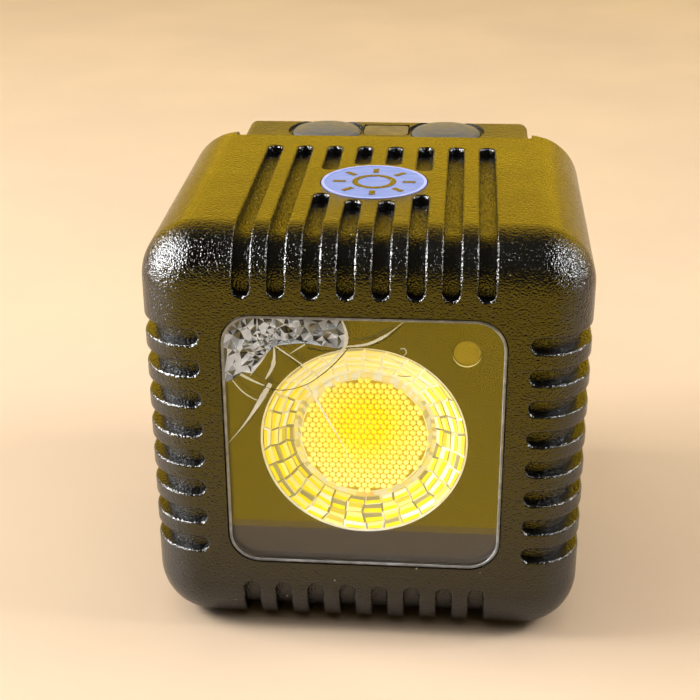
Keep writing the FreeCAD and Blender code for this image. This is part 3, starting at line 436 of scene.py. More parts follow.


# ---------------------------------------------------------------- crushed corner
# Splinters of the broken corner, still held by the frame: sharp facets, some white where the
# glass is crushed to powder, some clear enough to show the dark behind. All of them glow a little
# in their own colour, a painted light.
splinter_glass = new_material("splinter_glass", (0.7, 0.72, 0.70), 0.08, specular=0.9)
facet_colour_and_painted_light = add_node(splinter_glass, "ShaderNodeAttribute", attribute_name="splinter_tint")
frost = add_node(splinter_glass, "ShaderNodeTexNoise")
frost.inputs["Scale"].default_value = 3500.0
frost.inputs["Detail"].default_value = 4.0
frosted_tint_and_glow = add_node(splinter_glass, "ShaderNodeMix", data_type="RGBA", blend_type="MULTIPLY")
frosted_tint_and_glow.inputs[0].default_value = 0.35
wire(splinter_glass, facet_colour_and_painted_light.outputs["Color"], frosted_tint_and_glow.inputs[6])
wire(splinter_glass, frost.outputs["Fac"], frosted_tint_and_glow.inputs[7])
wire(splinter_glass, frosted_tint_and_glow.outputs[2], shader_of(splinter_glass).inputs["Base Color"])
# Painted light: the splinter colour also feeds the emission, so the splinters glow a little.
wire(splinter_glass, frosted_tint_and_glow.outputs[2], shader_of(splinter_glass).inputs["Emission Color"])
shader_of(splinter_glass).inputs["Emission Strength"].default_value = 0.22
add_bump(splinter_glass, frost.outputs["Fac"], 0.12 * MM)

KNOCK = (-7.5, 9.4)
corner = [p for p in outline if p[0] < BREAK_RIGHT and p[1] > BREAK_LOW]
corner = [(-11.75, BREAK_LOW)] + corner + [(BREAK_RIGHT, 11.75)]
corner = [(x * 0.994, z * 0.994) for x, z in corner]
broken_area = corner + BREAK_LINE


def inside(point, area):
    """Whether a point lies inside a closed outline, by counting crossings."""
    x, z = point
    crossings = 0
    for (x1, z1), (x2, z2) in zip(area, area[1:] + area[:1]):
        if (z1 > z) != (z2 > z) and x < (x2 - x1) * (z - z1) / (z2 - z1) + x1:
            crossings += 1
    return crossings % 2 == 1


chance = random.Random(41)
spots = list(broken_area)
fixed = len(spots)
KNOCK_RAYS = 40
for ray in range(KNOCK_RAYS):
    for reach in (0.4, 0.8, 1.2, 1.7, 2.2, 2.8, 3.4, 4.0, 4.7, 5.4, 6.0):
        angle = 2 * math.pi * (ray + chance.uniform(-0.42, 0.42)) / KNOCK_RAYS
        length = reach * chance.uniform(0.82, 1.2)
        spot = (KNOCK[0] + length * math.cos(angle), KNOCK[1] + length * math.sin(angle))
        if inside(spot, broken_area):
            spots.append(spot)
for _ in range(90):
    spot = (chance.uniform(-11.8, -1.4), chance.uniform(5.7, 11.8))
    if inside(spot, broken_area):
        spots.append(spot)
loop = [(i, (i + 1) % fixed) for i in range(fixed)]
flat, _, flat_faces = geometry.delaunay_2d_cdt([Vector(s) for s in spots], loop, [], 1, 1e-5)[:3]
splinters = bmesh.new()
tint_layer = splinters.loops.layers.float_color.new("splinter_tint")
tops = []
for spot in flat:
    near_edge = min((Vector(spot) - Vector(p)).length for p in broken_area) < 0.05
    sink = 0.05 if near_edge else chance.uniform(-0.04, 0.60)
    tops.append(splinters.verts.new(pane_point(spot[0], spot[1], sink)))
for corners in flat_faces:
    face = splinters.faces.new([tops[i] for i in corners])
    heart = sum((Vector(flat[i]) for i in corners), Vector((0.0, 0.0))) / len(corners)
    shade = chance.random()
    if heart.x > -6.3 and heart.y > 9.9:
        shade *= 0.62
    if heart.x < -10.0 and heart.y > 10.2:
        shade *= 0.8
    if shade < 0.19:
        colour = (0.015, 0.012, 0.008)
    elif shade < 0.30:
        colour = (0.20, 0.17, 0.08)
    elif shade < 0.50:
        colour = (0.48, 0.50, 0.50)
    else:
        colour = (0.98, 0.99, 1.0)
    for loop_corner in face.loops:
        loop_corner[tint_layer] = (*colour, 1.0)
border = [e for e in splinters.edges if e.is_boundary]
dropped = bmesh.ops.extrude_edge_only(splinters, edges=border)
for vert in [v for v in dropped["geom"] if isinstance(v, bmesh.types.BMVert)]:
    vert.co.y = PANE_BACK
bmesh.ops.holes_fill(splinters, edges=[e for e in splinters.edges if e.is_boundary])
new_piece("crushed_corner", mesh_from(splinters, "crushed_corner", merge=False), splinter_glass)


# ---------------------------------------------------------------- cracks
# Cracks that run from the knock through the pane. Each is a thin wedge of air, wide where the
# glass parted and fading to a hair line. The lit ones are painted near white, a painted reflection
# of the light their walls catch; the others are painted dark, a painted shade.
# Painted reflection: near white, for the light the crack walls reflect.
crack_painted_reflection = new_material("crack_painted_reflection", (0.95, 0.97, 0.92), 0.10, specular=1.0)
streaks = add_node(crack_painted_reflection, "ShaderNodeTexNoise")
streaks.inputs["Scale"].default_value = 1500.0
streaks.inputs["Detail"].default_value = 5.0
wire(crack_painted_reflection, add_range(crack_painted_reflection, streaks.outputs["Fac"], 0.32, 0.62, 0.08, 0.95),
     shader_of(crack_painted_reflection).inputs["Alpha"])
# Painted shade: dark along the shaded cracks.
crack_shadow = new_material("crack_shadow", (0.05, 0.04, 0.02), 0.2)
dark_streaks = add_node(crack_shadow, "ShaderNodeTexNoise")
dark_streaks.inputs["Scale"].default_value = 1800.0
wire(crack_shadow, add_range(crack_shadow, dark_streaks.outputs["Fac"], 0.3, 0.6, 0.25, 0.9),
     shader_of(crack_shadow).inputs["Alpha"])


def smooth_path(points, steps=10):
    """Catmull-Rom curve through a few (across, up, width) places on the pane."""
    padded = [points[0]] + list(points) + [points[-1]]
    path = []
    for a, b, c, d in zip(padded, padded[1:], padded[2:], padded[3:]):
        for step in range(steps):
            t = step / steps
            path.append([0.5 * (2 * b[k] + (c[k] - a[k]) * t + (2 * a[k] - 5 * b[k] + 4 * c[k] - d[k]) * t * t
                                + (3 * b[k] - a[k] - 3 * c[k] + d[k]) * t ** 3) for k in range(3)])
    path.append(list(points[-1]))
    return path


def add_crack(shape, points, proud, seed):
    """One wedge-shaped crack along a curve, with a slightly ragged edge."""
    depth = 0.16
    ragged = 0.2
    jitter = random.Random(seed)
    path = smooth_path(points)
    rows = []
    for i, (across, up, width) in enumerate(path):
        ahead = path[min(i + 1, len(path) - 1)]
        behind = path[max(i - 1, 0)]
        run = Vector((ahead[0] - behind[0], ahead[1] - behind[1]))
        run = run.normalized() if run.length else Vector((1.0, 0.0))
        half = max(width * 0.75, 0.015) / 2 * (1 + jitter.uniform(-1, 1) * ragged)
        side = Vector((-run.y, run.x)) * half
        rows.append((shape.verts.new(pane_point(across + side.x, up + side.y, -proud)),
                     shape.verts.new(pane_point(across - side.x, up - side.y, -proud)),
                     shape.verts.new(pane_point(across, up, depth))))
    skin_rows(shape, rows)


LIT_CRACKS = (
    ((-7.4, 9.2, 0.10), (-7.4, 8.2, 0.30), (-7.6, 7.2, 0.42), (-8.2, 6.1, 0.12)),
    ((-7.8, 5.7, 0.5), (-8.4, 4.6, 0.62), (-9.1, 3.4, 0.42), (-10.2, 1.7, 0.16), (-11.6, -0.1, 0.03)),
    ((-7.9, 8.7, 0.10), (-8.7, 7.5, 0.20), (-9.5, 6.4, 0.06)),
    ((-7.3, 9.2, 0.12), (-6.5, 8.6, 0.20), (-5.8, 8.1, 0.12), (-5.0, 7.5, 0.16)),
    ((-4.8, 9.4, 0.16), (-5.4, 9.0, 0.12), (-6.1, 8.5, 0.05)),
    ((-1.7, 11.6, 0.20), (-1.35, 10.4, 0.42), (-1.5, 9.3, 0.34), (-2.4, 8.1, 0.34), (-3.4, 7.1, 0.26),
     (-4.8, 5.9, 0.05)),
    ((-1.4, 9.3, 0.16), (0.3, 9.55, 0.30), (1.6, 10.2, 0.34), (2.4, 10.8, 0.10), (3.4, 11.7, 0.05)),
    ((-10.3, 6.5, 0.34), (-9.2, 5.9, 0.26), (-8.3, 5.5, 0.12)),
    ((-11.0, 5.9, 0.10), (-10.2, 4.9, 0.16), (-9.2, 4.2, 0.10), (-8.6, 4.1, 0.04)),
    ((-4.8, 5.8, 0.16), (-4.3, 5.0, 0.20), (-3.7, 3.9, 0.26), (-3.0, 2.5, 0.24), (-2.1, 0.8, 0.12),
     (-0.9, -1.8, 0.03)),
    ((3.1, 9.2, 0.04), (3.45, 9.25, 0.09), (3.6, 8.9, 0.08), (3.35, 8.6, 0.03)),
)
DARK_CRACKS = (
    ((-1.25, 9.1, 0.10), (-2.2, 7.9, 0.16), (-3.3, 6.8, 0.12), (-4.7, 5.75, 0.10), (-6.2, 5.2, 0.09),
     (-7.5, 5.15, 0.10), (-8.4, 5.5, 0.08)),
    ((-7.9, 5.1, 0.06), (-8.9, 3.3, 0.06), (-10.1, 1.6, 0.04), (-11.7, -0.3, 0.02)),
    ((-4.6, 9.1, 0.20), (-3.4, 8.9, 0.28), (-2.2, 8.9, 0.12)),
    ((-7.2, 9.0, 0.05), (-5.1, 7.3, 0.07)),
    ((0.5, 9.35, 0.07), (1.9, 10.1, 0.07), (3.3, 11.4, 0.04)),
    ((2.9, 6.75, 0.02), (3.4, 6.72, 0.05), (4.0, 6.75, 0.02)),
)
light_cracks = bmesh.new()
for seed, points in enumerate(LIT_CRACKS, 2):
    add_crack(light_cracks, points, 0.012, seed)
new_piece("cracks_lit", mesh_from(light_cracks, "cracks_lit", merge=False), crack_painted_reflection)
dark_cracks = bmesh.new()
for seed, points in enumerate(DARK_CRACKS, 21):
    add_crack(dark_cracks, points, 0.02, seed)
new_piece("cracks_dark", mesh_from(dark_cracks, "cracks_dark", merge=False), crack_shadow)


# ---------------------------------------------------------------- collimator lens
# One moulding of clear acrylic: a deep cone of reflecting facets round a honeycomb of tiny
# domes, clipped behind the pane. The yellow lamp behind it fills the whole lens with colour. That
# colour, the white reflections and the grey shade are painted on facet by facet, and the lens glows
# a little: all painted light.
lens_middle, lens_low, lens_high = middle_of("collimator_lens")
LENS_X = lens_middle[0]
LENS_Z = lens_middle[2]
LENS_FRONT = lens_low[1]


def lens_point(radius, turn, depth):
    """A place on the lens: millimetres from its axis, turned clockwise from the top, and deep."""
    return Vector((LENS_X + radius * MM * math.sin(turn), LENS_FRONT + depth * MM,
                   LENS_Z + radius * MM * math.cos(turn)))


def lit_acrylic(name, roughness, glow, attribute):
    """Clear acrylic painted facet by facet with the light it shows, the lamp's colour, white reflections and
    shade, and glowing a little: painted light.
    """
    material = new_material(name, (1.0, 0.85, 0.2), roughness, specular=0.6)
    shader = shader_of(material)
    shader.inputs["Emission Strength"].default_value = glow
    shader.inputs["Coat Weight"].default_value = 0.6
    shader.inputs["Coat Roughness"].default_value = 0.05
    grain = add_node(material, "ShaderNodeTexNoise")
    grain.inputs["Scale"].default_value = 1400.0
    grain.inputs["Detail"].default_value = 3.0
    tone = add_range(material, grain.outputs["Fac"], 0.35, 0.62, 0.72, 1.0)
    mix = add_node(material, "ShaderNodeMix", data_type="RGBA", blend_type="MULTIPLY")
    mix.inputs[0].default_value = 1.0
    source = add_node(material, "ShaderNodeAttribute", attribute_name=attribute)
    wire(material, source.outputs["Color"], mix.inputs[6])
    wire(material, tone, mix.inputs[7])
    wire(material, mix.outputs[2], shader.inputs["Base Color"])
    wire(material, mix.outputs[2], shader.inputs["Emission Color"])
    return material


# The facets glow a little in their painted colour, a painted light.
lens_facets = lit_acrylic("lens_facets", 0.10, 0.10, "facet_colour_and_painted_light")
PAINTED_WHITE_REFLECTION = (0.88, 0.86, 0.78)
PALE_YELLOW = (0.93, 0.80, 0.30)
BRIGHT_YELLOW = (0.98, 0.74, 0.02)
DEEP_YELLOW = (0.62, 0.50, 0.06)
SHADE_GREY = (0.26, 0.24, 0.16)
PAINTED_LAMP_ORANGE = (1.0, 0.66, 0.28)
SECTORS = 30
BOWL = ((8.72, 0.04), (8.15, 0.45), (7.5, 0.85), (6.8, 1.2), (6.2, 1.5))
facet_chance = random.Random(7)
bowl = bmesh.new()
facet_light_layer = bowl.loops.layers.float_color.new("facet_colour_and_painted_light")


def tint_face(face, colour):
    for corner_loop in face.loops:
        corner_loop[facet_light_layer] = (*colour, 1.0)


def tint_band(inner, outer, colour, steps=96):
    """A smooth ring of the lens between two radii, in one tint."""
    for step in range(steps):
        a = 2 * math.pi * step / steps
        b = 2 * math.pi * (step + 1) / steps
        corners = [lens_point(outer[0], a, outer[1]), lens_point(outer[0], b, outer[1]),
                   lens_point(inner[0], b, inner[1]), lens_point(inner[0], a, inner[1])]
        face = bowl.faces.new([bowl.verts.new(p) for p in corners])
        tint_face(face, colour(0.5 * (a + b)) if callable(colour) else colour)


# Painted light on the wall round the honeycomb: lamp orange at the bottom, white reflection at the top,
# yellow, pale and grey shade elsewhere.
def wall_painted_light(turn):
    upper = math.cos(turn)
    if abs(turn - math.pi) < 0.16:
        return PAINTED_LAMP_ORANGE
    shade = facet_chance.random()
    if upper > 0.55:
        return (0.93, 0.92, 0.86) if shade < 0.7 else (0.98, 0.86, 0.45)
    if shade < 0.4:
        return (0.82, 0.80, 0.66)
    return (0.95, 0.84, 0.36) if shade < 0.8 else (0.60, 0.54, 0.30)


def bowl_node(line, sector):
    """A shared corner of the facets: its radius, turn and depth, each a little off the true grid."""
    radius, depth = BOWL[line]
    odd = random.Random(line * 100 + sector % SECTORS)
    loose = 0.0 if line in (0, len(BOWL) - 1) else 1.0
    return (radius + loose * odd.uniform(-0.12, 0.12),
            2 * math.pi * (sector + odd.uniform(-0.13, 0.13)) / SECTORS,
            depth + loose * odd.uniform(-0.10, 0.10))


# A pale painted highlight runs round the rim of the lens.
tint_band((8.72, 0.04), (8.95, 0.0), (0.98, 0.96, 0.84))
for ring in range(len(BOWL) - 1):
    for sector in range(SECTORS):
        cell_nodes = [bowl_node(ring, sector), bowl_node(ring, sector + 1),
                      bowl_node(ring + 1, sector + 1), bowl_node(ring + 1, sector)]
        turn = (2 * math.pi * (sector + 0.5) / SECTORS) % (2 * math.pi)
        upper = math.cos(turn)
        cell = [lens_point(*node) for node in cell_nodes]
        heart = sum(cell, Vector((0.0, 0.0, 0.0))) / 4
        shrink = 0.10 + 0.12 * facet_chance.random()
        bulge = Vector((0.0, -(0.10 + 0.12 * facet_chance.random()) * MM, 0.0))
        pad = [corner_point.lerp(heart, shrink) + bulge for corner_point in cell]
        outer_v = [bowl.verts.new(p) for p in cell]
        pad_v = [bowl.verts.new(p) for p in pad]
        middle = [bowl.verts.new(pad[3].lerp(pad[0], 0.52)), bowl.verts.new(pad[2].lerp(pad[1], 0.52))]
        # Each facet is split into two halves under different painted light: the lamp's yellow on one, white
        # reflection, paler yellow or deeper shade on the other. The upper facets are painted paler.
        pick = facet_chance.random()
        if upper > 0.6:
            warm = ((1.0, 0.84, 0.34), (1.0, 0.90, 0.55))
            first_half_light, second_half_light = warm if pick < 0.7 else (PALE_YELLOW, PAINTED_WHITE_REFLECTION)
        elif pick < 0.38:
            first_half_light, second_half_light = BRIGHT_YELLOW, PALE_YELLOW
        elif pick < 0.68:
            first_half_light, second_half_light = (BRIGHT_YELLOW, PAINTED_WHITE_REFLECTION) if pick < 0.56 else (PALE_YELLOW, DEEP_YELLOW)
        else:
            first_half_light, second_half_light = BRIGHT_YELLOW, (SHADE_GREY if upper < 0.2 else PAINTED_WHITE_REFLECTION)
        tint_face(bowl.faces.new((pad_v[0], pad_v[1], middle[1], middle[0])), first_half_light)
        tint_face(bowl.faces.new((middle[0], middle[1], pad_v[2], pad_v[3])), second_half_light)
        # The facet walls are painted grey shade, white reflection or yellow.
        for i in range(4):
            j = (i + 1) % 4
            edge_pick = facet_chance.random()
            if upper > 0.5:
                side = (0.97, 0.93, 0.75)
            elif i in (1, 3):
                clear = PAINTED_WHITE_REFLECTION if edge_pick < 0.75 else (0.70, 0.62, 0.28)
                side = SHADE_GREY if edge_pick < 0.5 else clear
            else:
                side = PAINTED_WHITE_REFLECTION if edge_pick < 0.35 else (0.72, 0.62, 0.20)
            tint_face(bowl.faces.new((outer_v[i], outer_v[j], pad_v[j], pad_v[i])), side)
tint_band((5.85, 1.62), (6.2, 1.5), wall_painted_light)
tint_band((5.5, 1.0), (5.85, 1.62), wall_painted_light)
# A pale painted highlight on the lip round the honeycomb, and the outer wall in painted shade.
tint_band((5.3, 1.15), (5.5, 1.0), (0.97, 0.93, 0.70))
tint_band((8.95, 8.0), (8.95, 0.0), SHADE_GREY)
bmesh.ops.remove_doubles(bowl, verts=bowl.verts, dist=2e-6)
lens_piece = new_piece("lens_bowl", mesh_from(bowl, "lens_bowl", merge=False), lens_facets)
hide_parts("collimator_lens")

# The domes are clear. Their yellow, deepest in the middle over the lamp and paler towards the rim, is painted
# lamp light, and they glow a little: painted light.
honeycomb_lamp_light = new_material("honeycomb_lamp_light", (1.0, 0.80, 0.05), 0.15, specular=0.6)
comb_place = add_node(honeycomb_lamp_light, "ShaderNodeTexCoord")
comb_centre = add_node(honeycomb_lamp_light, "ShaderNodeMapping")
comb_centre.inputs["Location"].default_value = (-LENS_X, 0.0, -(LENS_Z + 1.3 * MM))
comb_centre.inputs["Scale"].default_value = (1.0, 0.0, 1.0)
comb_reach = add_node(honeycomb_lamp_light, "ShaderNodeVectorMath", operation="LENGTH")
comb_colour = add_node(honeycomb_lamp_light, "ShaderNodeMix", data_type="RGBA")
comb_colour.inputs[6].default_value = (1.0, 0.75, 0.0, 1.0)
comb_colour.inputs[7].default_value = (1.0, 0.86, 0.27, 1.0)
wire(honeycomb_lamp_light, comb_place.outputs["Object"], comb_centre.inputs["Vector"])
wire(honeycomb_lamp_light, comb_centre.outputs["Vector"], comb_reach.inputs[0])
wire(honeycomb_lamp_light, add_range(honeycomb_lamp_light, comb_reach.outputs["Value"], 1.8 * MM, 5.6 * MM, 0.0, 1.0),
     comb_colour.inputs[0])
wire(honeycomb_lamp_light, comb_colour.outputs[2], shader_of(honeycomb_lamp_light).inputs["Base Color"])
wire(honeycomb_lamp_light, comb_colour.outputs[2], shader_of(honeycomb_lamp_light).inputs["Emission Color"])
shader_of(honeycomb_lamp_light).inputs["Emission Strength"].default_value = 0.08


def build_honeycomb(sizes, material, plate_material):
    """A tree that lays low domes on a honeycomb grid over a thin round plate."""
    tree = bpy.data.node_groups.new("honeycomb_domes", "GeometryNodeTree")
    for label, value in sizes.items():
        socket = tree.interface.new_socket(name=label, in_out="INPUT", socket_type="NodeSocketFloat")
        socket.default_value = value
    tree.interface.new_socket(name="Geometry", in_out="OUTPUT", socket_type="NodeSocketGeometry")
    start = tree.nodes.new("NodeGroupInput")
    end = tree.nodes.new("NodeGroupOutput")
    link = tree.links.new

    def maths(operation, first, second=None):
        node = tree.nodes.new("ShaderNodeMath")
        node.operation = operation
        for slot, value in enumerate((first, second)):
            if value is None:
                continue
            if isinstance(value, (int, float)):
                node.inputs[slot].default_value = value
            else:
                link(value, node.inputs[slot])
        return node.outputs[0]

    count = 25
    row_ratio = 0.8660254
    grid = tree.nodes.new("GeometryNodeMeshGrid")
    grid.inputs["Vertices X"].default_value = count
    grid.inputs["Vertices Y"].default_value = count
    link(maths("MULTIPLY", start.outputs["Pitch"], count - 1.0), grid.inputs["Size X"])
    link(maths("MULTIPLY", start.outputs["Pitch"], (count - 1.0) * row_ratio), grid.inputs["Size Y"])
    index = tree.nodes.new("GeometryNodeInputIndex")
    odd = maths("MODULO", maths("MODULO", index.outputs[0], float(count)), 2.0)
    shift = tree.nodes.new("ShaderNodeCombineXYZ")
    link(maths("MULTIPLY", maths("MULTIPLY", odd, 0.5), start.outputs["Pitch"]), shift.inputs[0])
    move = tree.nodes.new("GeometryNodeSetPosition")
    link(grid.outputs["Mesh"], move.inputs["Geometry"])
    link(shift.outputs[0], move.inputs["Offset"])
    place = tree.nodes.new("GeometryNodeInputPosition")
    length = tree.nodes.new("ShaderNodeVectorMath")
    length.operation = "LENGTH"
    link(place.outputs[0], length.inputs[0])
    far = tree.nodes.new("FunctionNodeCompare")
    far.data_type = "FLOAT"
    far.operation = "GREATER_THAN"
    link(length.outputs["Value"], far.inputs[0])
    link(start.outputs["Reach"], far.inputs[1])
    trim = tree.nodes.new("GeometryNodeDeleteGeometry")
    trim.domain = "POINT"
    link(move.outputs["Geometry"], trim.inputs["Geometry"])
    link(far.outputs["Result"], trim.inputs["Selection"])
    dome = tree.nodes.new("GeometryNodeMeshUVSphere")
    dome.inputs["Segments"].default_value = 8
    dome.inputs["Rings"].default_value = 6
    link(maths("MULTIPLY", start.outputs["Pitch"], 0.53), dome.inputs["Radius"])
    squash = tree.nodes.new("GeometryNodeTransform")
    flat_scale = tree.nodes.new("ShaderNodeCombineXYZ")
    flat_scale.inputs[0].default_value = 1.0
    flat_scale.inputs[1].default_value = 1.0
    link(maths("DIVIDE", start.outputs["Dome Height"], start.outputs["Pitch"]), flat_scale.inputs[2])
    link(dome.outputs["Mesh"], squash.inputs["Geometry"])
    link(flat_scale.outputs[0], squash.inputs["Scale"])
    spread = tree.nodes.new("GeometryNodeInstanceOnPoints")
    real = tree.nodes.new("GeometryNodeRealizeInstances")
    link(trim.outputs["Geometry"], spread.inputs["Points"])
    link(squash.outputs["Geometry"], spread.inputs["Instance"])
    link(spread.outputs["Instances"], real.inputs["Geometry"])
    plate = tree.nodes.new("GeometryNodeMeshCylinder")
    plate.inputs["Vertices"].default_value = 64
    link(maths("ADD", start.outputs["Reach"], maths("MULTIPLY", start.outputs["Pitch"], 0.35)),
         plate.inputs["Radius"])
    link(maths("MULTIPLY", start.outputs["Dome Height"], 0.3), plate.inputs["Depth"])
    join = tree.nodes.new("GeometryNodeJoinGeometry")
    dome_coat = tree.nodes.new("GeometryNodeSetMaterial")
    dome_coat.inputs["Material"].default_value = material
    link(real.outputs["Geometry"], dome_coat.inputs["Geometry"])
    link(dome_coat.outputs["Geometry"], join.inputs[0])
    plate_coat = tree.nodes.new("GeometryNodeSetMaterial")
    plate_coat.inputs["Material"].default_value = plate_material
    link(plate.outputs["Mesh"], plate_coat.inputs["Geometry"])
    link(plate_coat.outputs["Geometry"], join.inputs[0])
    stand = tree.nodes.new("GeometryNodeTransform")
    stand.inputs["Translation"].default_value = lens_point(0.0, 0.0, 1.15)
    stand.inputs["Rotation"].default_value = (math.radians(90.0), 0.0, 0.0)
    link(join.outputs[0], stand.inputs["Geometry"])
    link(stand.outputs["Geometry"], end.inputs["Geometry"])
    return tree


def grown_mesh(name, tree, sizes):
    """Run a tree on an empty mesh with its named sizes, and keep the plain mesh it gives."""
    holder = bpy.data.objects.new(name, bpy.data.meshes.new(name + "_seed"))
    bpy.context.scene.collection.objects.link(holder)
    growth = holder.modifiers.new("growth", "NODES")
    growth.node_group = tree
    for item in tree.interface.items_tree:
        if item.item_type == "SOCKET" and item.in_out == "INPUT" and item.name in sizes:
            growth[item.identifier] = sizes[item.name]
    bpy.context.view_layer.update()
    grown = holder.evaluated_get(bpy.context.evaluated_depsgraph_get())
    mesh = bpy.data.meshes.new_from_object(grown)
    holder.modifiers.remove(growth)
    bpy.data.objects.remove(holder)
    return mesh


# The plate between the domes is painted a darker orange, a painted shade in the gaps.
comb_gap_shade = worked_material("honeycomb_gap", (0.50, 0.33, 0.0), (0.60, 0.42, 0.01), 1600, (0.3, 0.4))
COMB_SIZES = {"Pitch": 0.56 * MM, "Reach": 5.35 * MM, "Dome Height": 0.66 * MM}
comb_mesh = grown_mesh("lens_honeycomb", build_honeycomb(COMB_SIZES, honeycomb_lamp_light, comb_gap_shade), COMB_SIZES)
new_piece("lens_honeycomb", comb_mesh, None, smooth=True)
finish(lens_facets, "collimator_lens")
black_plastic = worked_material("black_plastic", (0.012, 0.012, 0.012), (0.022, 0.022, 0.022), 2200,
                                (0.35, 0.5), relief=0.000008)
finish(black_plastic, "lens_holder")


# ---------------------------------------------------------------- light sensor window
# Short amber light guide behind a hole in the mask, for the slave-flash sensor. It glows faintly, a
# painted light, and its turned lower lip carries a pale crescent, a painted highlight.
amber_guide = worked_material("amber_guide", (0.10, 0.06, 0.0), (0.13, 0.08, 0.0), 1400, (0.3, 0.4))
# Painted light: a faint amber glow.
shader_of(amber_guide).inputs["Emission Color"].default_value = (0.6, 0.4, 0.02, 1.0)
shader_of(amber_guide).inputs["Emission Strength"].default_value = 0.03
finish(amber_guide, "light_guide")
guide_middle, guide_low, guide_high = middle_of("light_guide")
# Painted highlight: the pale crescent on the lower lip.
lip_painted_highlight = worked_material("guide_lip", (0.75, 0.68, 0.40), (0.60, 0.52, 0.25), 2000, (0.2, 0.3))
lip = bmesh.new()
rows = []
LIP_STEPS = 32
LIP_RADIUS = 1.20
for i in range(LIP_STEPS + 1):
    turn = math.radians(100 + 160 * i / LIP_STEPS)
    width = 0.10 * math.sin(math.pi * i / LIP_STEPS) + 0.01
    rows.append([lip.verts.new((guide_middle[0] + radius * MM * math.sin(turn), window_high[1] + depth * MM,
                                guide_middle[2] + radius * MM * math.cos(turn)))
                 for radius, depth in ((LIP_RADIUS, 0.03), (LIP_RADIUS - width, 0.03),
                                       (LIP_RADIUS - width / 2, 0.10))])
skin_rows(lip, rows)
new_piece("light_guide_lip", mesh_from(lip, "light_guide_lip", merge=False), lip_painted_highlight)
finish(black_plastic, "flash_sensor")


# ---------------------------------------------------------------- lamp
# White aluminium-backed board with one large ceramic LED, its yellow phosphor under a dam,
# held by small steel screws over a heat pad.
board_white = worked_material("board_white", (0.80, 0.80, 0.78), (0.72, 0.72, 0.69), 1500, (0.25, 0.4))
ceramic = worked_material("ceramic", (0.86, 0.85, 0.80), (0.78, 0.77, 0.72), 2500, (0.4, 0.55))
phosphor = worked_material("phosphor", (1.0, 0.80, 0.06), (0.95, 0.68, 0.03), 3000, (0.5, 0.65),
                           relief=0.00001)
steel = worked_material("steel", (0.55, 0.55, 0.56), (0.42, 0.42, 0.44), 1800, (0.22, 0.38), metallic=1.0)
finish(board_white, "led_board")
finish(ceramic, "led_emitter", "led_dam")
finish(phosphor, "led_phosphor", "status_lamps")
finish(steel, "led_board_screws", "spreader_screws", "board_screws", "button_board_screws")


# ---------------------------------------------------------------- heat path, cell and boards
# Grey silicone pad and a bare aluminium spreader carry the lamp's heat to the housing. Behind
# them sit the foil-wrapped cell and the green main board with its charging socket.
pad_grey = worked_material("pad_grey", (0.30, 0.31, 0.33), (0.24, 0.25, 0.27), 1600, (0.6, 0.75))
bare_aluminium = worked_material("bare_aluminium", (0.62, 0.62, 0.62), (0.52, 0.52, 0.53), 500, (0.25, 0.42),
                                 metallic=1.0, stretch=(1, 1, 14))
cell_foil = worked_material("cell_foil", (0.55, 0.56, 0.58), (0.44, 0.45, 0.47), 420, (0.3, 0.5),
                            metallic=0.8, relief=0.00003)
lead_insulation = worked_material("lead_insulation", (0.40, 0.02, 0.02), (0.32, 0.015, 0.015), 1500,
                                  (0.35, 0.5))
board_green = worked_material("board_green", (0.01, 0.12, 0.04), (0.02, 0.20, 0.07), 700, (0.25, 0.4),
                              stretch=(1, 1, 3))
plated_steel = worked_material("plated_steel", (0.68, 0.68, 0.67), (0.55, 0.55, 0.54), 900, (0.15, 0.28),
                               metallic=1.0, stretch=(4, 1, 1))
flex_amber = worked_material("flex_amber", (0.45, 0.22, 0.03), (0.35, 0.16, 0.02), 1100, (0.25, 0.4))
finish(pad_grey, "thermal_pad")
finish(bare_aluminium, "heat_spreader")
finish(cell_foil, "battery_cell")
finish(lead_insulation, "battery_leads", "led_leads")
finish(board_green, "main_board", "button_board")
finish(black_plastic, "board_components", "switch_left", "switch_right", "plunger_left", "plunger_right")
finish(plated_steel, "usb_socket")
finish(flex_amber, "button_flex")


# ---------------------------------------------------------------- rear cover and port cap
# Injection-moulded black cover, screwed on over a cord seal, and the threaded cap of its
# charging port. The grain is a little coarser than the painted housing's.
COVER_BLACK = (0.014, 0.013, 0.011)
cover_plastic = new_material("cover_plastic", COVER_BLACK)
cover_skin = add_pebbles(cover_plastic, 0.00028, 0.30, 0.44, 0.7)
dusty_colour(cover_plastic, cover_skin, COVER_BLACK)
finish(cover_plastic, "rear_cover", "port_cap")
steel_black = worked_material("steel_black", (0.03, 0.03, 0.032), (0.08, 0.08, 0.085), 1600, (0.3, 0.45),
                              metallic=1.0)
finish(steel_black, "rear_screws")


# ---------------------------------------------------------------- buttons and indicator
# Two soft grey-blue rubber domes in shallow dishes, one to dim and one to brighten, with the
# smoked strip of the charge lamps between them.
button_grey = worked_material("button_grey", (0.05, 0.062, 0.085), (0.065, 0.08, 0.105), 1300, (0.42, 0.55),
                              relief=0.000006)
finish(button_grey, "button_left", "button_right")
indicator_smoke = worked_material("indicator_smoke", (0.07, 0.065, 0.065), (0.05, 0.045, 0.045), 900,
                                  (0.35, 0.45))
finish(indicator_smoke, "indicator_window")


# ---------------------------------------------------------------- floor, lights and camera
# Pale plain table under two soft side lights and a fill above. Two yellow cards and two glint
# lamps are there for reflections only. A short telephoto lens looks down on the window.
def add_floor():
    shape = bmesh.new()
    bmesh.ops.create_grid(shape, x_segments=2, y_segments=2, size=2.0)
    floor = bpy.data.objects.new("floor", mesh_from(shape, "floor"))
    bpy.context.scene.collection.objects.link(floor)
    table = worked_material("pale_table", (0.76, 0.57, 0.39), (0.72, 0.53, 0.36), 25, (0.6, 0.7))
    floor.data.materials.append(table)


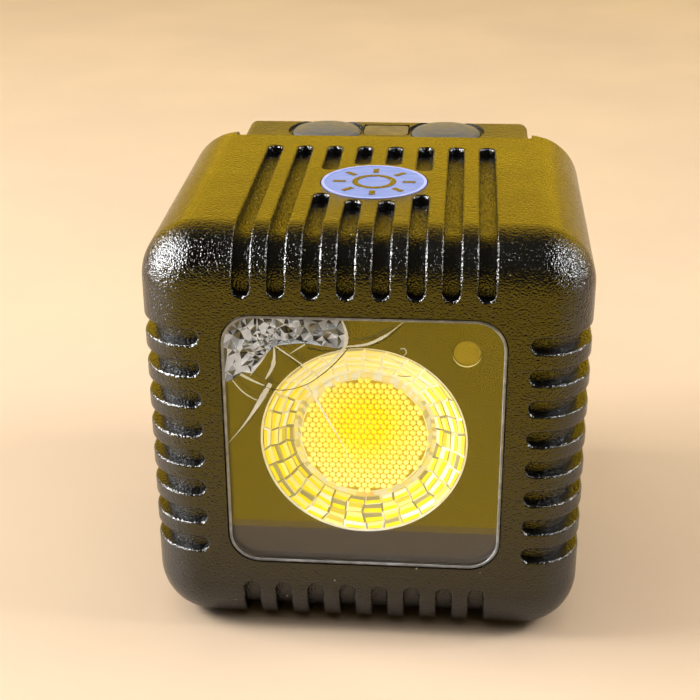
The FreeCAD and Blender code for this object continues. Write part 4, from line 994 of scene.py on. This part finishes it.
def soft_box(name, place, target, size, watts, colour=(1.0, 1.0, 1.0), mirrored=True, lights=True):
    data = bpy.data.lights.new(name, "AREA")
    data.shape = "RECTANGLE"
    data.size, data.size_y = size
    data.energy = watts
    data.color = colour
    lamp = bpy.data.objects.new(name, data)
    lamp.location = place
    aim = Vector(target) - Vector(place)
    lamp.rotation_euler = aim.to_track_quat("-Z", "Y").to_euler()
    lamp.visible_camera = False
    lamp.visible_glossy = mirrored
    lamp.visible_diffuse = lights
    bpy.context.scene.collection.objects.link(lamp)


def add_front_card():
    """A yellow card on the table in front, which only the light's own gloss sees."""
    shape = bmesh.new()
    spread = Matrix.Translation((0.0, -0.195, 0.0012)) @ Matrix.Diagonal((0.30, 0.16, 1.0, 1.0))
    bmesh.ops.create_grid(shape, x_segments=1, y_segments=1, size=1.0, matrix=spread)
    card = bpy.data.objects.new("front_card", mesh_from(shape, "front_card"))
    bpy.context.scene.collection.objects.link(card)
    paper = worked_material("yellow_card", (1.0, 0.66, 0.0), (0.96, 0.62, 0.0), 40, (0.8, 0.9))
    shader_of(paper).inputs["Emission Color"].default_value = (1.0, 0.64, 0.0, 1.0)
    shader_of(paper).inputs["Emission Strength"].default_value = 0.75
    card.data.materials.append(paper)
    card.visible_camera = False
    card.visible_diffuse = False
    card.visible_shadow = False


def add_world():
    world = bpy.data.worlds.new("studio")
    world.use_nodes = True
    back = world.node_tree.nodes["Background"]
    back.inputs["Color"].default_value = (1.0, 0.82, 0.40, 1.0)
    rays = world.node_tree.nodes.new("ShaderNodeLightPath")
    level = world.node_tree.nodes.new("ShaderNodeMapRange")
    level.inputs["To Min"].default_value = 0.07
    level.inputs["To Max"].default_value = 0.75
    world.node_tree.links.new(rays.outputs["Is Camera Ray"], level.inputs["Value"])
    world.node_tree.links.new(level.outputs["Result"], back.inputs["Strength"])
    bpy.context.scene.world = world


def add_camera():
    data = bpy.data.cameras.new("camera")
    data.lens = 75.85
    data.sensor_width = 36.0
    data.shift_x = 0.037
    data.shift_y = 0.052
    camera = bpy.data.objects.new("camera", data)
    camera.location = (7.82 * MM, -129.67 * MM, 78.96 * MM)
    camera.rotation_euler = Euler([math.radians(angle) for angle in (64.10, 0.77, 5.34)])
    data.clip_start = 0.005
    bpy.context.scene.collection.objects.link(camera)
    bpy.context.scene.camera = camera


CARD_YELLOW = (1.0, 0.62, 0.01)
MIDDLE = (0.0, 0.0, 0.019)
add_floor()
add_world()
add_camera()
soft_box("left_box", (-0.30, -0.02, 0.24), MIDDLE, (0.15, 0.15), 1.3)
soft_box("right_box", (0.32, 0.00, 0.25), MIDDLE, (0.12, 0.12), 0.8)
soft_box("left_glint", (-0.28, -0.08, 0.17), MIDDLE, (0.15, 0.17), 5.2, lights=False)
soft_box("right_glint", (0.30, -0.05, 0.19), MIDDLE, (0.10, 0.13), 1.5, lights=False)
soft_box("back_card", (0.0, 0.42, 0.20), MIDDLE, (1.1, 0.42), 2.5, CARD_YELLOW, lights=False)
add_front_card()
soft_box("top_fill", (0.0, -0.05, 0.60), MIDDLE, (0.8, 0.8), 2.8, mirrored=False)
bpy.context.scene.view_settings.view_transform = "Standard"
